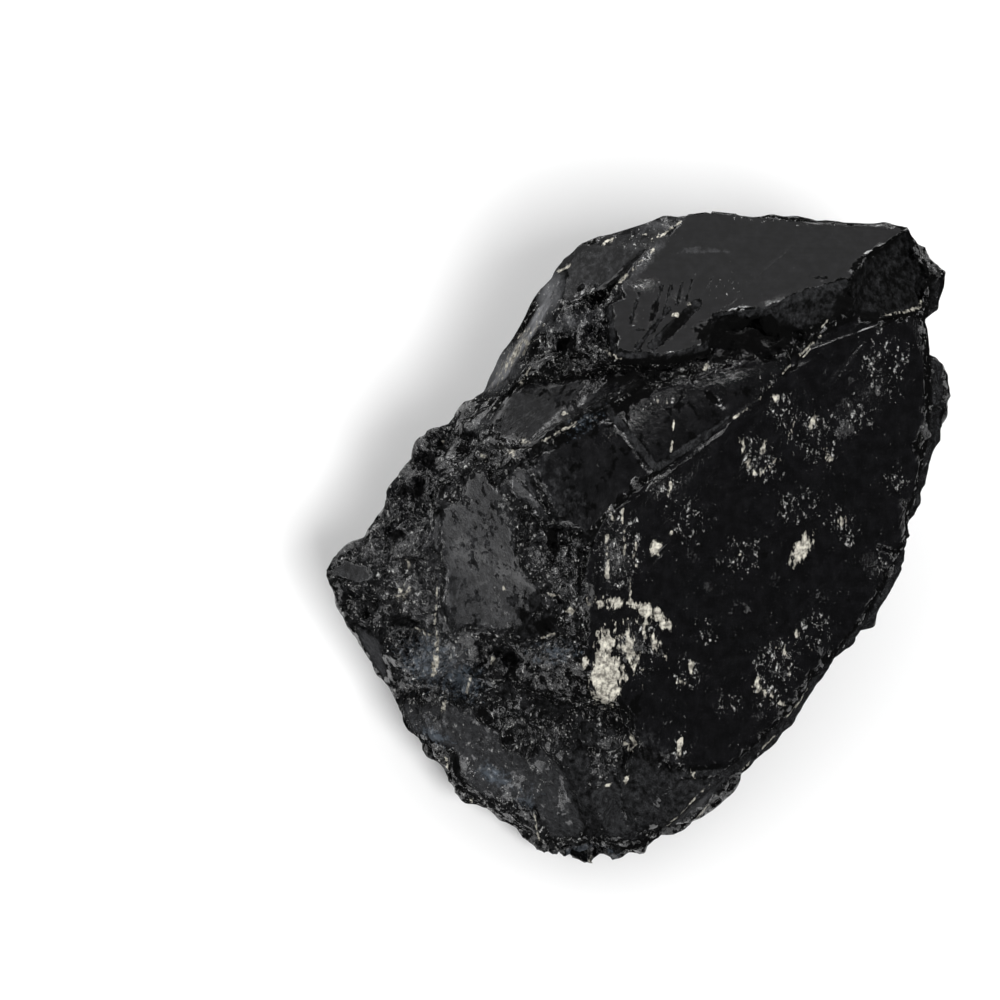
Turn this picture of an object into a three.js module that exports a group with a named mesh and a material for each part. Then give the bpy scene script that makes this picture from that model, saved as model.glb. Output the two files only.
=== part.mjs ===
// Black tourmaline cluster: one rough chunk of schorl, about the size of a fist.
//
// The stone rests on a flat broken face. Its broad front leans back, so most of the form is easiest
// to give in the frame of that front: across (to the right), up (up the leaning front) and out
// (towards someone who looks at it squarely). The last step stands the stone on its base,
// in millimetres with +Z up.

import * as THREE from "three";
import { mergeVertices } from "three/addons/utils/BufferGeometryUtils.js";
import { ImprovedNoise } from "three/addons/math/ImprovedNoise.js";

// ---------------------------------------------------------------- driving dimensions

const LEAN = THREE.MathUtils.degToRad(30); // how far the front leans back from level
const REST_HEIGHT = 30; // height of the front frame's origin above the resting plane

// The main crystal faces as planes: out = OUT + ACROSS * (across - at[0]) + UP * (up - at[1]).
const PRISM_FACE = { at: [10, 30], out: 22, across: 0, up: -0.695 };
const RIGHT_FACE = { at: [5, 15], out: 25, across: -0.3, up: 0.12 };
const DARK_FACE = { at: [-8, 9], out: 26.2, across: -0.03, up: 0.05 };

// Finishes: the longest triangle edge, the height of the bumps, and how much of the surface is
// broken into small chips and into large flat spalls.
const GLASSY = { edge: 5.2, bump: 0.05, chipped: 0, spalled: 0 };
const SMOOTH = { edge: 4.4, bump: 0.14, chipped: 0.1, spalled: 0 };
const BROKEN = { edge: 2.9, bump: 0.42, chipped: 0.7, spalled: 0, fan: true };
const RAGGED = { edge: 2.2, bump: 0.75, chipped: 1, spalled: 0, fan: true };
const REAR = { edge: 4.6, bump: 0.6, chipped: 0.4, spalled: 1, fan: true };
const RESTING = { edge: 40, bump: 0, chipped: 0, spalled: 0 };

// ---------------------------------------------------------------- corners

/** The upright direction, in the frame of the leaning front. */
const UPRIGHT = new THREE.Vector3(0, 0, 1).applyAxisAngle(new THREE.Vector3(1, 0, 0), -LEAN);

/** A corner given in the frame of the leaning front. */
function front(across, up, out) {
  return new THREE.Vector3(across, up, out);
}

/** A corner on one of the main crystal faces. */
function onFace(face, across, up) {
  const out = face.out + face.across * (across - face.at[0]) + face.up * (up - face.at[1]);
  return new THREE.Vector3(across, up, out);
}

/** A corner given as the stone stands: right, back and height above the resting plane. */
function standing(right, back, height) {
  return new THREE.Vector3(right, back, height - REST_HEIGHT).applyAxisAngle(
    new THREE.Vector3(1, 0, 0),
    -LEAN,
  );
}

// The rim, clockwise as seen from the front, starting at the foot of the bright sliver.
const rim = {
  sliverFoot: front(-23.6, 21.8, 4),
  sliverMid: front(-17.2, 31.5, 5),
  sliverTop: front(-12.6, 39.5, 7.5),
  shoulderTop: front(-9.2, 43.7, 7.5),
  saddleTop: front(-3, 45.9, 8.2),
  peakLeft: onFace(PRISM_FACE, 4, 48),
  peak: onFace(PRISM_FACE, 10, 48.8),
  edgeTop: onFace(PRISM_FACE, 26, 47.1),
  cornerTop: onFace(PRISM_FACE, 39, 46.2),
  cornerRight: front(42.8, 41.9, 8),
  endHigh: front(44.9, 39.9, 8),
  endLow: front(44.9, 35.4, 8),
  notch: front(41.6, 29.2, 6),
  knobHigh: front(46, 23.3, 8),
  knobLow: front(44.6, 17, 8),
  flankHigh: front(42, 10, 8),
  flankMid: front(39.1, -1.5, 8),
  flankLow: front(36.4, -7.6, 7.5),
  chipTip: front(33.8, -13.3, 7),
  chipInner: front(31.6, -13.2, 7.5),
  bevelHigh: front(27.6, -19.6, 6),
  bevelMid: front(20.7, -28.1, 6),
  bevelLow: front(13, -38, 5),
  bevelFoot: front(6.2, -43.2, 5),
  tipRight: front(0, -45.6, 5),
  tip: front(-8.2, -49.5, 4),
  tipLeft: front(-14.3, -47.3, 4),
  heelRight: front(-18.4, -42.9, 4),
  heelMid: front(-27.6, -37.9, 4),
  heelLeft: front(-34.2, -29.6, 4),
  jowlLow: front(-37.6, -22, 4),
  jowl: front(-42.9, -14.4, 5),
  noseLow: front(-45.8, -8, 5.5),
  nose: front(-46.9, -4.8, 6.2),
  noseBrow: front(-45.4, -1.6, 6),
  noseHigh: front(-40.3, 0.8, 6),
  cheek: front(-39.6, 4.2, 6),
  cheekHigh: front(-36.6, 9.6, 6),
  shoulderLeft: front(-33.4, 14.8, 6.5),
  shoulderRight: front(-27, 19.7, 5.5),
};

// The prism block at the top and the broken ridge on its left.
const block = {
  sliverInnerLow: front(-20, 23.8, 8.5),
  sliverInnerMid: front(-15.6, 31, 11),
  sliverInnerTop: front(-13.3, 34.6, 11.5),
  brokenLeft: front(-9, 35.6, 12.6),
  brokenRight: front(-6, 35.8, 13.8),
  ridgeTop: onFace(PRISM_FACE, 5.5, 46.8),
  ridgeHigh: onFace(PRISM_FACE, 1, 43.2),
  ridgeMid: onFace(PRISM_FACE, -3, 38.5),
  ridgeLow: front(-8.5, 32.5, 19.6),
  ridgeFoot: front(-9.3, 27.8, 22.4),
  hollowLeft: front(-12.8, 29, 15.4),
  lipLeft: onFace(PRISM_FACE, -4, 26.4),
  lipMid: onFace(PRISM_FACE, 3, 26.5),
  lipRight: onFace(PRISM_FACE, 8.5, 28.2),
  caveLeft: onFace(PRISM_FACE, 10.7, 32.6),
  caveTop: onFace(PRISM_FACE, 17.5, 33.6),
  sideLow: onFace(PRISM_FACE, 23.5, 36.3),
  sideMid: onFace(PRISM_FACE, 30, 37.7),
  sideHigh: onFace(PRISM_FACE, 32.3, 41.5),
  sideTop: onFace(PRISM_FACE, 36, 43.8),
  endTop: front(40.2, 42, 11.6),
  endMid: front(42.2, 38.8, 11.2),
  endFoot: front(41.7, 36, 13),
};

// The shelf below the block, the black hollow and the crest down to the right-hand face.
const shelf = {
  stepFarLeft: front(-18.4, 22.6, 15),
  stepLeft: front(-13, 26, 18),
  stepMid: front(-6, 25.1, 20.6),
  stepRight: front(2, 25.1, 21.4),
  stepEnd: front(9.4, 26.8, 20.8),
  lowFarLeft: front(-23, 14.8, 18.2),
  lowLeft: front(-18, 13.5, 23.6),
  low: onFace(DARK_FACE, -13.2, 14.8),
  lowRight: onFace(DARK_FACE, -9, 17.6),
  spur: front(-2.4, 20.9, 25.2),
  slopeMid: front(7.5, 24.3, 24.4),
  slopeRight: front(14.5, 26.4, 22.6),
  hollowLow: front(13.6, 28.8, 20.6),
  hollowRight: front(22.4, 28.3, 21.4),
  hollowFloorLeft: front(12.4, 30.8, 15.6),
  hollowFloorRight: front(20, 29.4, 16.2),
  hollowTop: front(18.8, 31, 19),
  hollowEnd: front(22.9, 30.1, 20),
  darkLeft: onFace(DARK_FACE, -16.5, 11),
  darkLowLeft: onFace(DARK_FACE, -14.8, 5.5),
  darkLow: onFace(DARK_FACE, -12, 2),
  darkLowRight: onFace(DARK_FACE, -7.3, 1.8),
  darkRightLow: onFace(DARK_FACE, -5.4, 4.3),
  darkRight: onFace(DARK_FACE, 0, 9.5),
  darkTop: onFace(DARK_FACE, -4.6, 16.8),
  crestFoot: onFace(RIGHT_FACE, 6, 12.7),
  crestLow: onFace(RIGHT_FACE, 12.5, 17.5),
  crestMid: onFace(RIGHT_FACE, 18, 22),
  crestHigh: onFace(RIGHT_FACE, 22.3, 27.1),
  crestTop: onFace(RIGHT_FACE, 28, 32.6),
  endRidgeLeft: onFace(RIGHT_FACE, 34, 32.3),
  endRidgeMid: onFace(RIGHT_FACE, 38, 32.9),
  endRidgeRight: front(40.9, 33.6, 14.8),
};

// The big right-hand face and the bevel along its outer edge.
const face = {
  leftHigh: onFace(RIGHT_FACE, -9, -3),
  leftMid: onFace(RIGHT_FACE, -9.6, -9),
  leftLow: onFace(RIGHT_FACE, -8.6, -14.5),
  leftFoot: onFace(RIGHT_FACE, -9, -21),
  grooveEnd: onFace(RIGHT_FACE, -3, -23.6),
  underGroove: onFace(RIGHT_FACE, -2, -28.5),
  lowLeft: onFace(RIGHT_FACE, 4.5, -33.8),
  edgeFoot: front(5, -40, 15.4),
  edgeTip: front(0, -43, 12),
  edgeLow: onFace(RIGHT_FACE, 11.5, -33.4),
  edgeLowMid: onFace(RIGHT_FACE, 18.6, -27.8),
  edgeMid: onFace(RIGHT_FACE, 26.6, -17.4),
  edgeChip: onFace(RIGHT_FACE, 32.8, -10.6),
  edgeHigh: onFace(RIGHT_FACE, 37.4, -1.2),
  edgeUpper: onFace(RIGHT_FACE, 39.8, 8),
  edgeKnob: onFace(RIGHT_FACE, 41.3, 17),
  edgeTop: onFace(RIGHT_FACE, 41, 25.6),
  knobRidge: front(43.9, 22.6, 12),
};

// The left side: light planes, ragged shoulder, nose with its groove, and the long lower groove.
const left = {
  planeLeft: front(-29, 4, 17.4),
  planeTop: front(-20.4, 6, 24.2),
  planeCorner: front(-20, 11, 24.2),
  planeRight: front(-19.4, -2, 24.4),
  planeLow: front(-28, -13.4, 18.2),
  planeLowRight: front(-21, -13, 22.8),
  roughHigh: front(-13, -4.6, 27.2),
  roughLow: front(-14, -13, 26),
  crackHigh: front(-30.3, -8, 17.4),
  crackLow: front(-31, -14, 16.6),
  shoulderMid: front(-31.4, 11.4, 13.4),
  shoulderInner: front(-26, 12.3, 18.8),
  shoulderHigh: front(-27.4, 16, 12.4),
  cheekInner: front(-35, 3, 12.6),
  noseRidge: front(-39.4, -2.8, 11.6),
  noseInner: front(-35.5, -7.8, 15),
  noseUnder: front(-42.4, -7, 11),
  noseGrooveLeft: front(-43, -9.4, 8.4),
  noseGrooveRight: front(-36.6, -11.5, 12),
  jowlHigh: front(-41, -13.5, 9.4),
  jowlInner: front(-36.5, -17, 12.6),
  grooveFarLeft: front(-32, -19.5, 14.8),
  grooveLipLeft: front(-25, -18.6, 18.8),
  grooveLip: front(-17, -19.6, 22.8),
  grooveFloorLeft: front(-29, -21.6, 12.8),
  grooveFloorMid: front(-18, -22.9, 17.2),
  grooveFloorRight: front(-10, -25, 19.2),
  grooveFloorEnd: front(-3.6, -25.9, 20),
  lowerLipLeft: front(-26, -25.2, 16.4),
  lowerLipMid: front(-17, -26.6, 19.8),
  lowerLipRight: front(-10, -27.7, 21.4),
  spineTop: front(-8.4, -28.8, 21.6),
  spineMid: front(-9.6, -36, 17.6),
  spineLow: front(-7, -43.5, 12),
  keelMid: front(-3.4, -36, 16.8),
  keelLow: front(-2.6, -44.4, 9.8),
  tipInner: front(-12, -44.4, 9.6),
  lowerLeft: front(-33, -27.5, 10.6),
  lowerMid: front(-19, -33, 15),
  lowerHeel: front(-28.2, -34.4, 10),
  lowerRight: front(-22, -38.8, 9.8),
  lowerFoot: front(-17.4, -41, 9.8),
};

// Corners round the back and the outline of the resting face, as the stone stands.
const rear = {
  backLeft: standing(-10, 36, 42),
  back: standing(13, 42.5, 43),
  backRight: standing(36, 38, 40),
  right: standing(40, 24, 30),
  rightLow: standing(37.5, 5, 22),
  rightFoot: standing(25, -13, 14),
  frontFoot: standing(9, -30, 7),
  frontLow: standing(-11, -34, 6),
  leftFoot: standing(-29, -22, 11),
  leftLow: standing(-40, -6, 19),
  leftMid: standing(-36.5, 6, 26),
  leftBack: standing(-25, 18, 32),
};
const base = {
  back: standing(-4, 31, 0),
  backRight: standing(25, 29, 0),
  right: standing(34, 12, 0),
  rightFront: standing(22, -8, 0),
  front: standing(7, -23, 0),
  frontLeft: standing(-14, -24, 0),
  left: standing(-26, -12, 0),
  leftBack: standing(-29, 4, 0),
  farLeft: standing(-22, 21, 0),
};

// ---------------------------------------------------------------- faces between the corners

// Each face lists its corners anticlockwise as seen from outside the stone.
const blockFaces = [
  [SMOOTH, rim.sliverFoot, block.sliverInnerLow, block.sliverInnerMid, block.sliverInnerTop,
    rim.sliverTop, rim.sliverMid],
  [SMOOTH, block.sliverInnerTop, block.brokenLeft, block.brokenRight, block.ridgeMid, block.ridgeHigh,
    block.ridgeTop, rim.peakLeft, rim.saddleTop, rim.shoulderTop, rim.sliverTop],
  [GLASSY, block.ridgeTop, block.ridgeHigh, block.ridgeMid, block.lipLeft, block.lipMid,
    block.lipRight, block.caveLeft, block.caveTop, block.sideLow, block.sideMid, block.sideHigh,
    block.sideTop, rim.cornerTop, rim.edgeTop, rim.peak, rim.peakLeft],
  [SMOOTH, block.ridgeMid, block.ridgeLow, block.ridgeFoot, block.lipLeft],
  [RAGGED, block.sliverInnerTop, block.sliverInnerMid, block.hollowLeft, block.ridgeFoot,
    block.ridgeLow, block.ridgeMid, block.brokenRight, block.brokenLeft],
  [BROKEN, block.hollowLeft, shelf.stepLeft, shelf.stepMid, block.ridgeFoot],
  [BROKEN, block.ridgeFoot, shelf.stepMid, block.lipLeft],
  [BROKEN, block.lipLeft, shelf.stepMid, shelf.stepRight, block.lipMid],
  [BROKEN, block.lipMid, shelf.stepRight, shelf.stepEnd, block.lipRight],
  [RAGGED, block.sliverInnerLow, shelf.stepFarLeft, shelf.stepLeft, block.hollowLeft,
    block.sliverInnerMid],
  [SMOOTH, block.sideMid, shelf.crestTop, shelf.endRidgeLeft, shelf.endRidgeMid,
    shelf.endRidgeRight, block.endFoot, block.endMid, block.endTop, rim.cornerTop, block.sideTop,
    block.sideHigh],
  [BROKEN, rim.cornerTop, block.endTop, block.endMid, block.endFoot, rim.endLow, rim.endHigh,
    rim.cornerRight],
  [BROKEN, block.endFoot, shelf.endRidgeRight, rim.notch, rim.endLow],
];

const shelfFaces = [
  [SMOOTH, shelf.stepFarLeft, shelf.lowFarLeft, shelf.lowLeft, shelf.low, shelf.lowRight, shelf.spur,
    shelf.stepRight, shelf.stepMid, shelf.stepLeft],
  [GLASSY, shelf.darkLeft, shelf.darkLowLeft, shelf.darkLow, shelf.darkLowRight, shelf.darkRightLow,
    shelf.darkRight, shelf.darkTop, shelf.lowRight, shelf.low],
  [SMOOTH, shelf.darkTop, shelf.darkRight, shelf.crestFoot, shelf.crestLow, shelf.crestMid,
    shelf.crestHigh, shelf.slopeRight, shelf.slopeMid, shelf.spur, shelf.lowRight],
  [BROKEN, shelf.spur, shelf.slopeMid, shelf.stepEnd, shelf.stepRight],
  [BROKEN, shelf.slopeMid, shelf.slopeRight, shelf.hollowLow, shelf.stepEnd],
  [BROKEN, shelf.slopeRight, shelf.crestHigh, shelf.hollowRight, shelf.hollowLow],
  [BROKEN, shelf.stepEnd, shelf.hollowLow, shelf.hollowFloorLeft, block.caveLeft, block.lipRight],
  [BROKEN, block.caveLeft, shelf.hollowFloorLeft, shelf.hollowTop, block.caveTop],
  [BROKEN, shelf.hollowFloorLeft, shelf.hollowLow, shelf.hollowRight, shelf.hollowFloorRight],
  [BROKEN, shelf.hollowFloorLeft, shelf.hollowFloorRight, shelf.hollowTop],
  [BROKEN, shelf.hollowTop, shelf.hollowFloorRight, shelf.hollowRight, shelf.hollowEnd],
  [SMOOTH, shelf.hollowTop, shelf.hollowEnd, shelf.crestTop, block.sideMid, block.sideLow,
    block.caveTop],
  [BROKEN, shelf.crestHigh, shelf.crestTop, shelf.hollowEnd, shelf.hollowRight],
];

const rightFaces = [
  [SMOOTH, shelf.darkRight, shelf.darkRightLow, shelf.darkLowRight, face.leftHigh, face.leftMid,
    face.leftLow, face.leftFoot, face.grooveEnd, face.underGroove, face.lowLeft, face.edgeLow,
    face.edgeLowMid, face.edgeMid, face.edgeChip, face.edgeHigh, face.edgeUpper, face.edgeKnob,
    face.edgeTop, shelf.endRidgeRight, shelf.endRidgeMid, shelf.endRidgeLeft, shelf.crestTop,
    shelf.crestHigh, shelf.crestMid, shelf.crestLow, shelf.crestFoot],
  [BROKEN, shelf.endRidgeRight, face.edgeTop, rim.notch],
  [BROKEN, face.edgeTop, face.knobRidge, rim.knobHigh, rim.notch],
  [BROKEN, face.edgeTop, face.edgeKnob, rim.knobLow, rim.knobHigh, face.knobRidge],
  [BROKEN, face.edgeKnob, face.edgeUpper, rim.flankHigh, rim.knobLow],
  [BROKEN, face.edgeUpper, face.edgeHigh, rim.flankMid, rim.flankHigh],
  [BROKEN, face.edgeHigh, face.edgeChip, rim.chipTip, rim.flankLow, rim.flankMid],
  [BROKEN, face.edgeChip, rim.chipInner, rim.chipTip],
  [BROKEN, face.edgeChip, face.edgeMid, rim.bevelHigh, rim.chipInner],
  [BROKEN, face.edgeMid, face.edgeLowMid, rim.bevelMid, rim.bevelHigh],
  [BROKEN, face.edgeLowMid, face.edgeLow, rim.bevelLow, rim.bevelMid],
  [BROKEN, face.edgeLow, face.edgeFoot, rim.bevelFoot, rim.bevelLow],
  [BROKEN, face.edgeFoot, face.edgeTip, rim.tipRight, rim.bevelFoot],
  [SMOOTH, face.underGroove, left.keelMid, face.edgeTip, face.edgeFoot, face.lowLeft],
  [SMOOTH, face.lowLeft, face.edgeFoot, face.edgeLow],
];

const leftFaces = [
  [SMOOTH, left.planeLeft, left.crackHigh, left.planeLow, left.planeLowRight, left.planeRight,
    left.planeTop],
  [BROKEN, left.planeLeft, left.planeTop, left.planeCorner, left.shoulderInner],
  [BROKEN, left.shoulderInner, left.planeCorner, shelf.lowLeft, shelf.lowFarLeft],
  [SMOOTH, left.planeCorner, left.planeTop, shelf.darkLow, shelf.darkLowLeft, shelf.darkLeft,
    shelf.low, shelf.lowLeft],
  [RAGGED, left.planeTop, left.planeRight, left.roughHigh, face.leftHigh, shelf.darkLowRight,
    shelf.darkLow],
  [SMOOTH, left.planeRight, left.planeLowRight, left.roughLow, left.roughHigh],
  [RAGGED, left.roughHigh, left.roughLow, face.leftLow, face.leftMid, face.leftHigh],
  [RAGGED, left.crackHigh, left.crackLow, left.planeLow],
  [RAGGED, left.planeLow, left.crackLow, left.grooveFarLeft, left.grooveLipLeft],
  [RAGGED, left.planeLowRight, left.planeLow, left.grooveLipLeft, left.grooveLip],
  [RAGGED, left.planeLowRight, left.grooveLip, face.leftFoot, face.leftLow, left.roughLow],
  [RAGGED, rim.noseHigh, left.cheekInner, left.shoulderMid, rim.cheekHigh, rim.cheek],
  [RAGGED, rim.cheekHigh, left.shoulderMid, left.shoulderHigh, rim.shoulderRight,
    rim.shoulderLeft],
  [RAGGED, left.cheekInner, left.planeLeft, left.shoulderInner, left.shoulderMid],
  [RAGGED, left.shoulderMid, left.shoulderInner, shelf.lowFarLeft, left.shoulderHigh],
  [BROKEN, left.shoulderHigh, shelf.lowFarLeft, shelf.stepFarLeft, block.sliverInnerLow,
    rim.sliverFoot, rim.shoulderRight],
  [SMOOTH, rim.nose, left.noseUnder, left.noseInner, left.noseRidge],
  [BROKEN, rim.noseLow, left.noseGrooveLeft, left.noseGrooveRight, left.noseInner,
    left.noseUnder, rim.nose],
  [BROKEN, rim.nose, left.noseRidge, left.cheekInner, rim.noseHigh, rim.noseBrow],
  [BROKEN, left.noseGrooveLeft, rim.noseLow, rim.jowl, left.jowlHigh],
  [BROKEN, left.noseGrooveLeft, left.jowlHigh, left.jowlInner, left.noseGrooveRight],
  [SMOOTH, left.jowlHigh, rim.jowl, rim.jowlLow, left.jowlInner],
  [RAGGED, left.noseInner, left.noseGrooveRight, left.jowlInner, left.grooveFarLeft,
    left.crackLow, left.crackHigh],
  [RAGGED, left.noseRidge, left.noseInner, left.crackHigh, left.planeLeft, left.cheekInner],
];

const lowerFaces = [
  [SMOOTH, left.grooveFloorLeft, left.grooveFloorMid, left.grooveLipLeft, left.grooveFarLeft],
  [SMOOTH, left.grooveFloorMid, left.grooveLip, left.grooveLipLeft],
  [SMOOTH, left.grooveFloorMid, left.grooveFloorRight, face.leftFoot, left.grooveLip],
  [SMOOTH, left.grooveFloorRight, left.grooveFloorEnd, face.grooveEnd, face.leftFoot],
  [BROKEN, left.grooveFloorLeft, left.lowerLipLeft, left.lowerLipMid, left.grooveFloorMid],
  [BROKEN, left.grooveFloorMid, left.lowerLipMid, left.lowerLipRight, left.grooveFloorRight],
  [BROKEN, left.grooveFloorRight, left.lowerLipRight, left.spineTop, face.underGroove,
    left.grooveFloorEnd],
  [BROKEN, face.grooveEnd, left.grooveFloorEnd, face.underGroove],
  [BROKEN, left.grooveFloorLeft, left.grooveFarLeft, left.jowlInner, rim.jowlLow, left.lowerLeft,
    left.lowerLipLeft],
  [BROKEN, left.spineTop, left.spineMid, left.spineLow, left.keelLow, face.edgeTip,
    left.keelMid, face.underGroove],
  [RAGGED, left.spineLow, left.tipInner, rim.tipLeft, rim.tip, rim.tipRight, face.edgeTip,
    left.keelLow],
  [SMOOTH, left.lowerLipMid, left.lowerMid, left.lowerFoot, left.tipInner, left.spineLow,
    left.spineMid, left.spineTop, left.lowerLipRight],
  [SMOOTH, left.lowerLipLeft, left.lowerLeft, left.lowerHeel, left.lowerRight, left.lowerFoot,
    left.lowerMid, left.lowerLipMid],
  [BROKEN, left.lowerFoot, rim.heelRight, rim.tipLeft, left.tipInner],
  [BROKEN, left.lowerRight, rim.heelMid, rim.heelRight, left.lowerFoot],
  [BROKEN, left.lowerHeel, left.lowerLeft, rim.heelLeft, rim.heelMid, left.lowerRight],
  [BROKEN, left.lowerLeft, rim.jowlLow, rim.heelLeft],
];

const rearFaces = [
  [REAR, rim.sliverFoot, rim.sliverMid, rim.sliverTop, rear.backLeft, rear.leftBack],
  [REAR, rim.sliverTop, rim.shoulderTop, rim.saddleTop, rim.peakLeft, rear.backLeft],
  [REAR, rim.peakLeft, rim.peak, rim.edgeTop, rear.back, rear.backLeft],
  [REAR, rim.edgeTop, rim.cornerTop, rear.backRight, rear.back],
  [REAR, rim.cornerTop, rim.cornerRight, rim.endHigh, rim.endLow, rear.backRight],
  [REAR, rim.endLow, rim.notch, rear.backRight],
  [REAR, rim.notch, rim.knobHigh, rear.right, rear.backRight],
  [REAR, rim.knobHigh, rim.knobLow, rim.flankHigh, rear.rightLow, rear.right],
  [REAR, rim.flankHigh, rim.flankMid, rim.flankLow, rear.rightLow],
  [REAR, rim.flankLow, rim.chipTip, rim.chipInner, rear.rightFoot, rear.rightLow],
  [REAR, rim.chipInner, rim.bevelHigh, rim.bevelMid, rear.rightFoot],
  [REAR, rim.bevelMid, rim.bevelLow, rim.bevelFoot, rear.frontFoot, rear.rightFoot],
  [REAR, rim.bevelFoot, rim.tipRight, rim.tip, rear.frontLow, rear.frontFoot],
  [REAR, rim.tip, rim.tipLeft, rim.heelRight, rear.frontLow],
  [REAR, rim.heelRight, rim.heelMid, rear.leftFoot, rear.frontLow],
  [REAR, rim.heelMid, rim.heelLeft, rim.jowlLow, rear.leftFoot],
  [REAR, rim.jowlLow, rim.jowl, rear.leftLow, rear.leftFoot],
  [REAR, rim.jowl, rim.noseLow, rim.nose, rear.leftLow],
  [REAR, rim.nose, rim.noseBrow, rim.noseHigh, rim.cheek, rear.leftMid, rear.leftLow],
  [REAR, rim.cheek, rim.cheekHigh, rim.shoulderLeft, rear.leftBack, rear.leftMid],
  [REAR, rim.shoulderLeft, rim.shoulderRight, rim.sliverFoot, rear.leftBack],
];

const footFaces = [
  [REAR, rear.leftBack, rear.backLeft, base.back, base.farLeft],
  [REAR, rear.backLeft, rear.back, base.back],
  [REAR, rear.back, rear.backRight, base.backRight, base.back],
  [REAR, rear.backRight, rear.right, base.right, base.backRight],
  [REAR, rear.right, rear.rightLow, base.right],
  [REAR, rear.rightLow, rear.rightFoot, base.rightFront, base.right],
  [REAR, rear.rightFoot, rear.frontFoot, base.front, base.rightFront],
  [REAR, rear.frontFoot, rear.frontLow, base.frontLeft, base.front],
  [REAR, rear.frontLow, rear.leftFoot, base.left, base.frontLeft],
  [REAR, rear.leftFoot, rear.leftLow, base.leftBack, base.left],
  [REAR, rear.leftLow, rear.leftMid, base.leftBack],
  [REAR, rear.leftMid, rear.leftBack, base.farLeft, base.leftBack],
  [RESTING, base.farLeft, base.back, base.backRight, base.right, base.rightFront, base.front,
    base.frontLeft, base.left, base.leftBack],
];

const faces = [
  ...blockFaces, ...shelfFaces, ...rightFaces, ...leftFaces, ...lowerFaces, ...rearFaces,
  ...footFaces,
].map(([finish, ...outline]) => ({ finish, outline }));

// ---------------------------------------------------------------- triangles

/** The direction that a many-cornered face looks in, by Newell's rule. */
function outlineNormal(outline) {
  const normal = new THREE.Vector3();
  outline.forEach((corner, index) => {
    const next = outline[(index + 1) % outline.length];
    normal.x += (corner.y - next.y) * (corner.z + next.z);
    normal.y += (corner.z - next.z) * (corner.x + next.x);
    normal.z += (corner.x - next.x) * (corner.y + next.y);
  });
  return normal.normalize();
}

/** Cuts one face into triangles between its own corners. */
function triangulate(outline) {
  const turn = new THREE.Quaternion().setFromUnitVectors(
    outlineNormal(outline),
    new THREE.Vector3(0, 0, 1),
  );
  const flat = outline.map((corner) => {
    const turned = corner.clone().applyQuaternion(turn);
    return new THREE.Vector2(turned.x, turned.y);
  });
  const cuts = THREE.ShapeUtils.triangulateShape(flat, []);
  return cuts.map((cut) => cut.map((position) => outline[position]));
}

/** Cuts one face into triangles round its middle. */
function fan(outline) {
  const middle = new THREE.Vector3();
  outline.forEach((corner) => middle.addScaledVector(corner, 1 / outline.length));
  return outline.map((corner, index) => [corner, outline[(index + 1) % outline.length], middle]);
}

/** All the faces as one triangle list over shared points. */
function coarseMesh() {
  const points = [];
  const indexOf = new Map();
  const pointIndex = (corner) => {
    if (!indexOf.has(corner)) {
      indexOf.set(corner, points.length);
      points.push(corner.clone());
    }
    return indexOf.get(corner);
  };
  const triangles = faces.flatMap(({ finish, outline }) => {
    const cuts = finish.fan && outline.length > 3 ? fan(outline) : triangulate(outline);
    return cuts.map((cut) => ({ finish, ends: cut.map(pointIndex) }));
  });
  return { points, triangles };
}

const edgeKey = (a, b) => (a < b ? `${a},${b}` : `${b},${a}`);

/** Splits every edge that is too long for a finish beside it, and the triangles with it. */
function splitOnce(mesh) {
  const middles = new Map();
  for (const { finish, ends } of mesh.triangles) {
    for (let side = 0; side < 3; side += 1) {
      const a = ends[side];
      const b = ends[(side + 1) % 3];
      const length = mesh.points[a].distanceTo(mesh.points[b]);
      if (length > finish.edge && !middles.has(edgeKey(a, b))) {
        middles.set(edgeKey(a, b), mesh.points.length);
        mesh.points.push(mesh.points[a].clone().lerp(mesh.points[b], 0.5));
      }
    }
  }
  const span = (a, b) => mesh.points[a].distanceTo(mesh.points[b]);
  mesh.triangles = mesh.triangles.flatMap(({ finish, ends }) =>
    splitTriangle(ends, middles, span).map((smaller) => ({ finish, ends: smaller })),
  );
  return middles.size;
}

/** One triangle cut at the middles that its sides have, into one to four triangles. */
function splitTriangle(ends, middles, span) {
  const middleOf = (side) => middles.get(edgeKey(ends[side], ends[(side + 1) % 3]));
  const split = [0, 1, 2].filter((side) => middleOf(side) !== undefined);
  if (split.length === 0) return [ends];
  if (split.length === 3) {
    const [p, q, r] = ends;
    const [pq, qr, rp] = [middleOf(0), middleOf(1), middleOf(2)];
    return [[p, pq, rp], [pq, q, qr], [rp, qr, r], [pq, qr, rp]];
  }
  // Turned so that the first side is split, and with two splits the last side is whole.
  const start = split.length === 2 && split[0] === 0 && split[1] === 2 ? 2 : split[0];
  const [p, q, r] = [0, 1, 2].map((step) => ends[(start + step) % 3]);
  const pq = middles.get(edgeKey(p, q));
  if (split.length === 1) return [[p, pq, r], [pq, q, r]];
  const qr = middles.get(edgeKey(q, r));
  const rest = span(p, qr) < span(pq, r)
    ? [[p, pq, qr], [p, qr, r]]
    : [[p, pq, r], [pq, qr, r]];
  return [[pq, q, qr], ...rest];
}

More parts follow.
